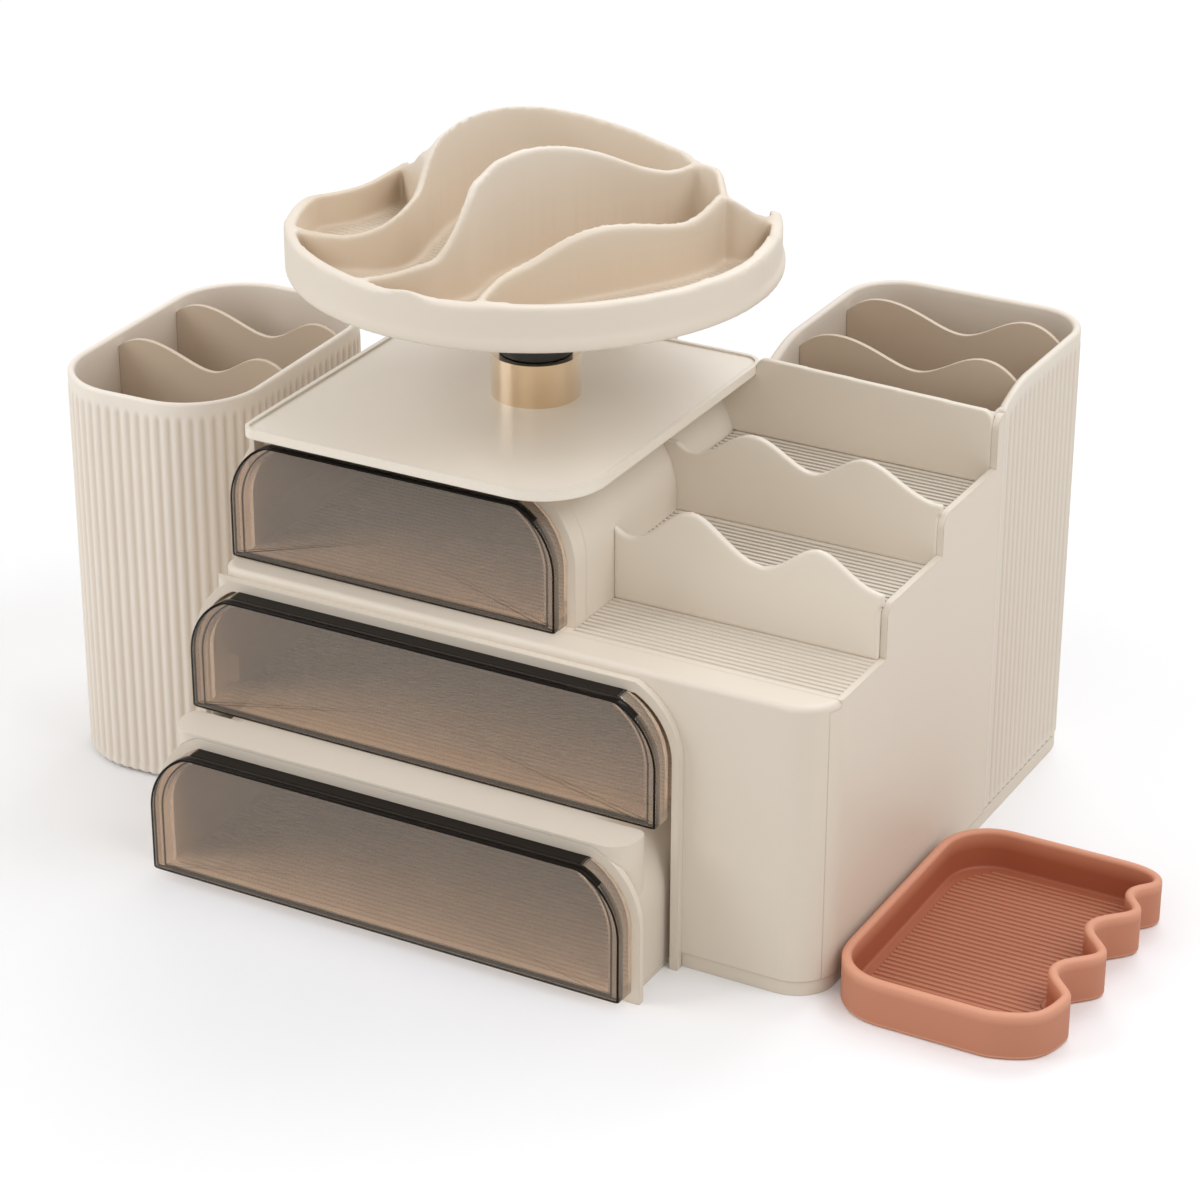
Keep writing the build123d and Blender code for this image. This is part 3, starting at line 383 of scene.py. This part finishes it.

# Drawers
# Moulded in clear plastic, smoked grey brown and polished: a thick arch-shaped front whose edges are painted
# near black as shade, a proud frame behind it with a near-black strip over it that is painted shade, and a
# thin box whose floor has fine ribs. They slide on strips inside their tunnels.


def smoked_plastic(name, colour, clear, rough=0.005, finish=None):
    """Clear tinted plastic with a faint ripple in its polish; its shadow lets most of the light through."""
    material, tree, shader = new_material(name)
    place = add_node(tree, "TexCoord", {}).outputs["Object"]
    ripple = add_node(tree, "TexNoise", {"Vector": place, "Scale": 26.0, "Detail": 2.0}).outputs["Fac"]
    darker = tuple(0.9 * part for part in colour)
    tint = mix_colours(tree, ripple, (*colour, 1), (*darker, 1))
    haze = add_node(tree, "MapRange", {"Value": ripple, "To Min": rough, "To Max": rough + 0.02})
    bump = add_node(tree, "Bump", {"Strength": 0.008, "Distance": 0.001, "Height": ripple})
    set_inputs(tree, shader, {"Base Color": tint, "Roughness": haze.outputs["Result"],
                              "Normal": bump.outputs["Normal"], "Transmission Weight": clear, "IOR": 1.45,
                              **(finish or {})})
    passing = add_node(tree, "BsdfTransparent", {"Color": (0.97, 0.96, 0.94, 1)})
    shadow = add_node(tree, "LightPath", {}).outputs["Is Shadow Ray"]
    both = {"Fac": shadow, 1: shader.outputs["BSDF"], 2: passing.outputs["BSDF"]}
    choice = add_node(tree, "MixShader", both)
    set_inputs(tree, tree.nodes["Material Output"], {"Surface": choice.outputs["Shader"]})
    return material


def straight_run(begin, end, count):
    """Evenly spaced points from begin toward end, which starts the next run."""
    t = np.linspace(0, 1, count, endpoint=False)[:, None]
    return np.array(begin) + (np.array(end) - np.array(begin)) * t


def arch(half, low, top, start, radius):
    """Outline in X and Z of an arch with a flat top, counterclockwise seen from the front, in three parts.

    They go along the floor and up the right side and its arc, across the flat top, and down on the left. Each
    arc runs from its start height until its rise, radius * sin(angle), reaches the top. Any two arches pair.
    """
    floor_count, side_count, arc_count, flat_count = 120, 40, 30, 90
    angle = math.asin(min(1.0, (top - start) / radius))
    pivot = half - radius
    edge = pivot + radius * math.cos(angle)
    t = np.linspace(0, angle, arc_count, endpoint=False)
    arc = np.stack([pivot + radius * np.cos(t), start + radius * np.sin(t)], 1)
    floor = straight_run((-half, low), (half, low), floor_count)
    right = straight_run((half, low), (half, start), side_count)
    left = straight_run((-half, start), (-half, low), side_count)
    flat = straight_run((edge, top), (-edge, top), flat_count)
    mirrored = arc[:0:-1] * (-1, 1)
    return np.concatenate([floor, right, arc]), flat, np.concatenate([[(-edge, top)], mirrored, left])


def open_arch(half, low, top, start, radius):
    """The arch without its flat top, from the left end of that top round the floor to its right end."""
    rising, flat, falling = arch(half, low, top, start, radius)
    return np.concatenate([falling, rising, flat[:1]])


def soften_path(points, times):
    """Rounds the corners of a closed path: each point moves halfway toward the mean of its neighbours."""
    for _ in range(times):
        points = 0.5 * points + 0.25 * (np.roll(points, 1, 0) + np.roll(points, -1, 0))
    return points


def pane(name, path, centre, y, thick, materials, insets=(1.4, 1.0, 0.15, 0.0)):
    """Upright plate with round edges: rings from the middle of its front to the middle of its back.

    Near the rim both faces draw back by a quarter circle. The first of three materials is on the faces, the
    second on the edges and on the top, and the third on the rim between the edges.
    """
    bevel = 0.55
    normal = outward(path)[::-1]
    path = path[::-1]
    rings = []
    for face, into, order in ((y, 1, insets), (y + thick, -1, insets[::-1])):
        for inset in order:
            drop = bevel - math.sqrt(bevel ** 2 - max(0.0, bevel - inset) ** 2)
            x, z = (path - normal * inset).T
            rings.append(np.column_stack([x + centre, np.full(len(path), face + into * drop), z]))
    plate = ring_mesh(name, rings, np.zeros(len(rings)), *materials)
    if len(materials) > 1:
        last = len(rings) - 2
        row = np.repeat(np.arange(last + 1), len(path))
        upward = np.tile(normal[:, 1] > 0.75, last + 1)
        index = np.zeros(len(plate.data.polygons), np.int32)
        # The edge rows and the top take the second material, which on the fronts paints the dark edges as
        # shade.
        face = (row == 0) | (row == last)
        edge = (row == 1) | (row == last - 1) | upward
        index[:len(row)] = np.select([face, edge], [0, 1], 2)
        plate.data.polygons.foreach_set("material_index", index)
    return plate


def strip_mesh(name, sections, centre, ys, material):
    """Closed bar through one outline in X and Z for each y; each end joins the two halves of its outline."""
    sections = np.array(sections)[:, ::-1] + (centre, 0)
    rows, columns = sections.shape[:2]
    depths = np.broadcast_to(np.array(ys)[:, None], (rows, columns))
    points = np.stack([sections[..., 0], depths, sections[..., 1]], -1)
    j = np.arange(columns // 2 - 1)
    near = np.stack([j, columns - 1 - j, columns - 2 - j, j + 1], 1)
    far = near[:, ::-1] + (rows - 1) * columns
    faces = np.concatenate([grid_quads(rows, columns), near, far])
    return new_piece(name, points.reshape(-1, 3), faces.tolist(), material)


def rib_rows(name, x0, x1, ys, z, width, height, material):
    """Low ridges along X from x0 to x1, one at each y: a ridge's form is height * cos(t * pi / 2) ** 0.8."""
    across = 7
    count = len(ys)
    t = np.linspace(-1, 1, across)
    y = ys[:, None] + width / 2 * t
    top = np.broadcast_to(z + height * np.cos(t * math.pi / 2) ** 0.8, y.shape)
    ends = [np.broadcast_to(np.reshape(x, (-1, 1)), y.shape) for x in (x0, x1)]
    points = np.stack([np.stack([x, y, top], -1) for x in ends], 1)
    base = (np.arange(count) * 2 * across)[:, None]
    j = base + np.arange(across - 1)
    over = np.stack([j, j + across, j + across + 1, j + 1], -1).reshape(-1, 4)
    under = base + (across - 1, 2 * across - 1, across, 0)
    left = base + np.arange(across)
    right = base + 2 * across - 1 - np.arange(across)
    faces = over.tolist() + under.tolist() + left.tolist() + right.tolist()
    return new_piece(name, points.reshape(-1, 3), faces, material)


smoked = smoked_plastic("smoked clear", (0.92, 0.80, 0.695), 0.91)
smoked_body = smoked_plastic("smoked body", (0.88, 0.74, 0.615), 0.8, 0.03)
# Near black: painted shade on the panes' edges and tops and on the strip over each frame; it also draws the
# dark seam line.
edge_shade_and_seam_black = smoked_plastic("smoked edge shade and seam", (0.010, 0.007, 0.005), 0.0, 0.08, {"Specular IOR Level": 0.12})
smoked_rim = smoked_plastic("smoked rim", (0.66, 0.54, 0.44), 0.9, 0.01)
smoked_rib = smoked_plastic("smoked ribs", (0.76, 0.62, 0.51), 0.8, 0.06)
rib_pitch = 2.75


def drawer(node, body, straight):
    """One drawer: its arch pane with edges painted near black as shade, the proud frame behind it, a thin
    body, a back and ribs, a dark seam line, and a strip of painted shade over the frame.

    It fills its node's box, and straight is the height at which the arcs of its outline start.
    """
    radius = 26.7
    thick, frame_end = 3.6, 9.5
    frame_inset, frame_gap = 0.3, 0.1
    inset, drop, wall, floor = 3.8, 1.3, 1.8, 2.4
    gap = 0.05
    rib_inset, rib_front, rib_back, rib_width, rib_height = 8.0, 7.0, 5.0, 1.3, 0.16
    line, line_inset, line_low, line_top = 0.6, 0.1, 1.2, 0.5
    shade_strip_low, shade_strip_high = 1.7, 0.15
    low_corner, high_corner = (np.array(corner) * 1000 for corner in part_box(node))
    centre = (low_corner[0] + high_corner[0]) / 2
    half = (high_corner[0] - low_corner[0]) / 2
    front, low = low_corner[1:]
    back, top = high_corner[1:]
    start = low + straight
    body_top = top - drop

    outline = arch(half, low, top, start, radius)
    front_path = soften_path(np.concatenate(outline), 2)
    face = pane(node + "_pane", front_path, centre, front, thick, [smoked, edge_shade_and_seam_black, smoked_rim])

    full = open_arch(half - frame_inset, low + frame_gap, top - frame_gap, start, radius - frame_inset)
    narrow = open_arch(half - inset, low, body_top, start, radius)
    hollow = open_arch(half - inset - wall, low + floor, body_top - wall, start, radius - wall)
    # The hollow's left end stays level over its first two points.
    hollow[1, 1] = body_top - wall
    sections = [np.concatenate([shape, hollow[::-1]]) for shape in (full, full, narrow, narrow)]
    frame_y = front + frame_end
    ys = [front + thick + gap, frame_y, frame_y + gap, back - wall - 2 * gap]
    shell = strip_mesh(node + "_body", sections, centre, ys, smoked_body)

    back_path = soften_path(np.concatenate(arch(half - inset, low, body_top, start, radius)), 2)
    insets = (0.9, 0.5, 0.15, 0.0)
    rear = pane(node + "_back", back_path, centre, back - wall - gap, wall, [smoked_body], insets)

    ys = np.arange(front + rib_front, back - rib_back, rib_pitch)
    reach = half - rib_inset
    ribs = rib_rows(node + "_ribs", centre - reach, centre + reach, ys, low + floor - 0.02, rib_width,
                    rib_height, smoked_rib)

    seam_half, seam_low, seam_top = half - inset - line_inset, low + line_low, body_top - line_top
    seam_out = open_arch(seam_half, seam_low, seam_top, start, radius)
    seam_in = open_arch(seam_half - line, seam_low + line, seam_top - line, start, radius - line)
    section = np.concatenate([seam_out, seam_in[::-1]])
    ys = [front + thick - 0.4, front + thick + 0.02]
    seam = strip_mesh(node + "_seam", [section, section], centre, ys, edge_shade_and_seam_black)

    # The strip over the frame's top is painted shade, near black where the drawer's inside lies in shadow.
    flat_end = outline[1][0, 0]
    x = np.linspace(-flat_end, flat_end, 40)
    z = np.repeat([top - shade_strip_low, top - shade_strip_high], len(x))
    section = np.column_stack([np.concatenate([x, x[::-1]]), z])
    ys = [front + thick + 0.06, frame_y - 0.1]
    shade_strip = strip_mesh(node + "_shade_strip", [section, section], centre, ys, edge_shade_and_seam_black)

    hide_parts(node)
    for piece in (face, shell, rear, ribs, seam, shade_strip):
        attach(piece, body)


drawer("drawer_top", "top_drawer", 22.3)
drawer("drawer_middle", "middle_drawer", 22.3)
drawer("drawer_bottom", "bottom_drawer", 25.6)

# Rotating tray
# One moulding in the white plastic: a disc with a low rim and swirling walls that run into each other with
# soft junctions. Its floor has fine ribs; it stands on the black neck of its bearing.


def softened(node, label, material, voxel, rounds, keep):
    """A copy of a CAD node with round edges: points merged, remeshed in even cells, smoothed and thinned out.

    voxel is the size of a cell in mm, rounds how often all points move toward their neighbours, and keep the
    share of faces that stay. Each axis is then stretched so that the copy fills the node's own box again.
    """
    form = bpy.data.objects.new(label + "_form", nodes[node].data.copy())
    bpy.context.collection.objects.link(form)
    merge = form.modifiers.new("merge", "WELD")
    merge.merge_threshold = 0.00001
    cells = form.modifiers.new("cells", "REMESH")
    cells.mode = "VOXEL"
    cells.voxel_size = voxel / 1000
    relax = form.modifiers.new("relax", "SMOOTH")
    relax.factor = 0.5
    relax.iterations = rounds
    if keep < 1:
        thin = form.modifiers.new("thin", "DECIMATE")
        thin.ratio = keep
    bpy.context.view_layer.update()
    ready = form.evaluated_get(bpy.context.evaluated_depsgraph_get())
    mesh = bpy.data.meshes.new_from_object(ready)
    mesh.name = label
    bpy.data.objects.remove(form)
    points = np.empty(len(mesh.vertices) * 3)
    mesh.vertices.foreach_get("co", points)
    points = points.reshape(-1, 3)
    low, high = (np.array(corner, float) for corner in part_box(node))
    least, most = points.min(0), points.max(0)
    points = low + (points - least) * (high - low) / (most - least)
    mesh.vertices.foreach_set("co", points.ravel())
    mesh.materials.clear()
    mesh.materials.append(material)
    mesh.polygons.foreach_set("use_smooth", np.ones(len(mesh.polygons), bool))
    piece = bpy.data.objects.new(label, mesh)
    bpy.context.collection.objects.link(piece)
    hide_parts(node)
    return piece


# Painted shade: the tray's third colour comes in deep between its walls.
tray_white = painted_shade_plastic("white tray", (0.77, 0.70, 0.615), (0.73, 0.65, 0.56), (0.68, 0.57, 0.45))


def rotating_tray():
    """The tray, painted darker and warmer as shade deep between its walls, and the straight ribs across its
    floor.

    The depth, its share of painted shade, grows to 1 from the rim inward and from the tallest wall's top
    down; it is 0 under the floor.
    """
    centre_x, centre_y = -30.0, -38.0
    inner_radius, rim_fade = 86.5, 3
    wall_top, wall_height, floor = 262, 26, 225
    rib_radius, rib_low, rib_width, rib_height = 85.0, 226.45, 1.2, 0.22
    tray = softened("turntable_tray", "tray", tray_white, voxel=0.66, rounds=26, keep=0.37)
    points = np.empty(len(tray.data.vertices) * 3, np.float32)
    tray.data.vertices.foreach_get("co", points)
    x, y, z = points.reshape(-1, 3).T * 1000
    inward = np.clip((inner_radius - np.hypot(x - centre_x, y - centre_y)) / rim_fade, 0, 1)
    store_shade_depth(tray, inward * np.clip((wall_top - z) / wall_height, 0, 1) * (z > floor))
    ys = np.arange(-80, 81, rib_pitch)
    reach = np.sqrt(rib_radius ** 2 - ys ** 2)
    ribs = rib_rows("tray_ribs", centre_x - reach, centre_x + reach, ys + centre_y, rib_low, rib_width,
                    rib_height, white_shell)
    for piece in (tray, ribs):
        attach(piece, "turntable")


rotating_tray()

# Wavy walls of the bays
# Thin upright walls with wavy, rounded top edges, one behind each stepped bay. They are moulded in the white
# plastic and stand fixed across the block; their colour is a little lighter than the shell's, a painted light.

lit_white_wall = plastic("white wall, painted light", (0.80, 0.735, 0.65), (0.76, 0.685, 0.595))
for wall_node in ("front_wave_wall", "middle_wave_wall", "step_back_wall"):
    wave_wall = softened(wall_node, wall_node + "_soft", lit_white_wall, voxel=0.55, rounds=8, keep=1)
    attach(wave_wall, "housing")

# Column and bearing
# A short plated tube, turned and polished, screwed to the platform from below. The black bearing in its top
# holds the tray's neck, which is moulded in the same black plastic.


def gold():
    """Champagne plating: paler where it is seen at a low angle, a painted sheen, with faint turned lines in
    its polish.
    """
    material, tree, shader = new_material("gold plating")
    sheen_mask = add_node(tree, "LayerWeight", {"Blend": 0.35}).outputs["Facing"]
    tone = mix_colours(tree, sheen_mask, (0.80, 0.61, 0.40, 1), (0.99, 0.94, 0.85, 1))
    place = add_node(tree, "TexCoord", {}).outputs["Object"]
    stretch = add_node(tree, "Mapping", {"Vector": place, "Scale": (30, 30, 2600)}).outputs["Vector"]
    turned = add_node(tree, "TexNoise", {"Vector": stretch, "Scale": 1.0, "Detail": 2.0}).outputs["Fac"]
    polish = add_node(tree, "MapRange", {"Value": turned, "To Min": 0.17, "To Max": 0.21}).outputs["Result"]
    set_inputs(tree, shader, {"Base Color": tone, "Metallic": 1.0, "Roughness": polish})
    return material


dress(gold(), "column")
dress(plastic("black cap", (0.02, 0.02, 0.02), (0.03, 0.03, 0.03)), "bearing", "turntable_hub")

# Loose tray
# A shallow tray with round corners and a wavy right side, moulded in terracotta plastic with a round rim and a
# ribbed floor. It stands by itself on the table.


def curve_through(points, steps):
    """Smooth curve through points: each span blends the four nearest points (Catmull-Rom)."""
    points = np.array(points, float)
    padded = np.concatenate([[2 * points[0] - points[1]], points, [2 * points[-1] - points[-2]]])
    a, b, c, d = (padded[i:i + len(points) - 1, None] for i in range(4))
    t = (np.arange(steps) / steps)[:, None]
    square = 2 * a - 5 * b + 4 * c - d
    cube = 3 * b - a - 3 * c + d
    bend = 0.5 * (2 * b + (c - a) * t + square * t ** 2 + cube * t ** 3)
    return np.concatenate([bend.reshape(-1, 2), points[-1:]])


def loose_path(inset):
    """Outline of the loose tray, counterclockwise from the front end of its wavy side, moved in by an inset.

    The wavy side swings by a cosine of the way along it, between listed ends; quarter circles join the
    straight sides. The path is softened, moved along its normals and softened again.
    """
    front, back, left, radius = -2.7, 119.5, 2.5, 21.0
    middle, swing, crest, pitch = 80.3, 5.7, 21, 33.3
    rounds = 16
    place = np.array([128.0, -119.0])
    near_end = [(66, front), (77, 1.5), (83.6, 8)]
    far_end = [(79.9, 96.4), (79.0, 99.4), (80.3, 102.4), (83.6, 105.6), (85.6, 110), (83.5, 115),
               (78, 118.4), (70, back)]
    along = np.linspace(19, 93, 20)
    lobes = np.column_stack([middle + swing * np.cos((along - crest) / pitch * 2 * math.pi), along])
    side = curve_through(np.concatenate([near_end, lobes, far_end]), 8)
    t = np.linspace(0, 1, 100)[1:, None]

    def quarter(x, y, first):
        """A quarter circle round (x, y) from the angle first on."""
        turn = np.linspace(first, first + math.pi / 2, 50)[1:]
        return np.column_stack([x + radius * np.cos(turn), y + radius * np.sin(turn)])

    top = side[-1] + ((left + radius, back) - side[-1]) * t
    far_corner = quarter(left + radius, back - radius, math.pi / 2)
    down = far_corner[-1] + ((left, front + radius) - far_corner[-1]) * t
    near_corner = quarter(left + radius, front + radius, math.pi)
    bottom = near_corner[-1] + (side[0] - near_corner[-1]) * t[:-1]
    path = soften_path(np.concatenate([side, top, far_corner, down, near_corner, bottom]), rounds)
    return soften_path(path - outward(path) * inset, rounds) + place


# Painted shade: the terracotta turns darker down its hollow and at half strength on its outer wall, leaving
# the rim lighter; the ribs' darker copy matches the shaded floor.
terracotta = painted_shade_plastic("terracotta", (0.70, 0.33, 0.215), (0.65, 0.29, 0.18), (0.40, 0.12, 0.06),
                           Roughness=0.5)
shaded_terracotta = plastic("terracotta floor, painted shade", (0.50, 0.185, 0.10), (0.46, 0.16, 0.085), Roughness=0.5)


def loose_tray():
    """The tray and its ribs, which end short of the walls and follow the round corners by a parabola."""
    height, floor, wall = 18.0, 2.6, 3.6
    rib_start, rib_gap, rib_width, rib_height = 138.0, 2.0, 2.1, 0.25
    middle_y, straight_half, corner_bend = -60.6, 36, 0.03
    wavy_count = 250
    outer = loose_path(0.05)
    inner = loose_path(wall)
    # The path's first points run along its wavy side, where the ribs end.
    wavy = inner[:wavy_count][np.argsort(inner[:wavy_count, 1])]
    # side=0.5 puts half the painted shade on the outer wall.
    tray = vessel("loose_shell", outer, inner, np.zeros(len(outer)), 0.0, floor, height, terracotta, side=0.5,
                  fillet=1.0)
    ys = np.arange(-112, -6, rib_pitch)
    ends = np.interp(ys, wavy[:, 1], wavy[:, 0]) - rib_gap
    starts = rib_start + np.clip(np.abs(ys - middle_y) - straight_half, 0, None) ** 2 * corner_bend
    ribs = rib_rows("loose_ribs", starts, ends, ys, floor, rib_width, rib_height, shaded_terracotta)
    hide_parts("loose_tray")
    for piece in (tray, ribs):
        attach(piece, "loose_tray")


loose_tray()

# Screws, feet and runners
# Zinc plated screws clamp the base plate and the column, soft black feet sit flush in the base plate, and the
# drawers run on pale slick strips with a stop bar at the back.

zinc = plastic("zinc", (0.60, 0.60, 0.61), (0.52, 0.52, 0.53), {"Metallic": 1.0}, Roughness=0.32)
rubber = plastic("rubber", (0.03, 0.03, 0.03), (0.02, 0.02, 0.02), Roughness=0.8)
slick = plastic("slick strip", (0.8, 0.8, 0.78), (0.75, 0.75, 0.7))
dress(zinc, "base_screws", "column_screw")
dress(rubber, "rubber_feet")
dress(slick, "runners_top", "runners_middle", "runners_bottom", "rails_top", "rails_middle", "stop_top",
      "stop_middle", "stop_bottom")

# Floor, light and camera
# A pale table top that fades to white far from the object, under soft studio lamps. The camera stands where
# the photograph was taken from.


def floor_sheet():
    """A flat square far wider than the object; for the camera its far parts glow white and take no light."""
    half = 6000.0
    material, tree, shader = new_material("table top")
    seen = add_node(tree, "LightPath", {}).outputs["Is Camera Ray"]
    place = add_node(tree, "TexCoord", {}).outputs["Object"]
    away = add_node(tree, "VectorMath", {0: place}, operation="LENGTH").outputs["Value"]
    far = add_node(tree, "MapRange", {"Value": away, "From Min": 0.25, "From Max": 1.1},
                   interpolation_type="SMOOTHSTEP").outputs["Result"]
    lit = add_node(tree, "Math", {0: far, 1: seen}, operation="MULTIPLY").outputs[0]
    near = mix_colours(tree, seen, (0.74, 0.73, 0.72, 1), (0.93, 0.94, 0.98, 1))
    black, white = (0, 0, 0, 1), (0.985, 0.985, 0.985, 1)
    set_inputs(tree, shader, {"Base Color": mix_colours(tree, lit, near, black),
                              "Emission Color": mix_colours(tree, lit, black, white), "Emission Strength": 1.0,
                              "Roughness": 0.7, "Specular IOR Level": 0.2})
    corners = np.array([(-half, -half, 0), (half, -half, 0), (half, half, 0), (-half, half, 0)])
    floor = new_piece("floor", corners, [(0, 1, 2, 3)], material)


def studio_world():
    """Even warm white light; rays from the camera and in gloss or clear plastic see a plain pale tone."""
    world = bpy.data.worlds.new("studio")
    bpy.context.scene.world = world
    world.use_nodes = True
    tree = world.node_tree
    glow = tree.nodes["Background"]
    set_inputs(tree, glow, {"Color": (1.0, 0.94, 0.84, 1), "Strength": 0.58})
    pale = add_node(tree, "Background", {"Color": (0.8, 0.8, 0.8, 1)})
    ray = add_node(tree, "LightPath", {}).outputs
    first = {0: ray["Is Camera Ray"], 1: ray["Is Glossy Ray"]}
    both = {0: add_node(tree, "Math", first, operation="MAXIMUM").outputs[0], 1: ray["Is Transmission Ray"]}
    seen = add_node(tree, "Math", both, operation="MAXIMUM").outputs[0]
    two = {"Fac": seen, 1: glow.outputs["Background"], 2: pale.outputs["Background"]}
    choice = add_node(tree, "MixShader", two)
    set_inputs(tree, tree.nodes["World Output"], {"Surface": choice.outputs["Shader"]})


def area_lamp(name, place, watts):
    """A square lamp aimed at a point a little above the table's middle."""
    lamp = bpy.data.lights.new(name, "AREA")
    lamp.energy = watts
    lamp.size = 0.9
    lamp.color = (0.93, 0.96, 1)
    holder = bpy.data.objects.new(name, lamp)
    bpy.context.collection.objects.link(holder)
    holder.location = place
    away = np.array(place) - (0, 0, 0.1)
    flat = math.hypot(away[0], away[1])
    holder.rotation_euler = (math.atan2(flat, away[2]), 0, math.atan2(away[0], -away[1]))


def camera():
    """The photograph's camera: its place in metres, its turn and rise, and the shift of its picture."""
    photo_width = 1200
    turn, rise = math.radians(28.98), math.radians(25.7)
    data = bpy.data.cameras.new("camera")
    data.sensor_width = 36.0
    data.lens = 108.97
    data.shift_x = 21.05 / photo_width
    data.shift_y = -8.07 / photo_width
    data.clip_start = 0.05
    data.clip_end = 50
    holder = bpy.data.objects.new("camera", data)
    bpy.context.collection.objects.link(holder)
    holder.location = (0.5806, -1.1081, 0.6829)
    holder.rotation_euler = (math.pi / 2 - rise, 0, turn)
    bpy.context.scene.camera = holder


floor_sheet()
studio_world()
area_lamp("key", (-1.15, -0.85, 1.05), 9.6)
area_lamp("front", (0.1, -1.4, 0.9), 1.7)
area_lamp("side", (0.95, -0.1, 1.3), 8.5)
area_lamp("back", (0, 0.9, 1.3), 7)
camera()
bpy.context.scene.view_settings.view_transform = "Standard"
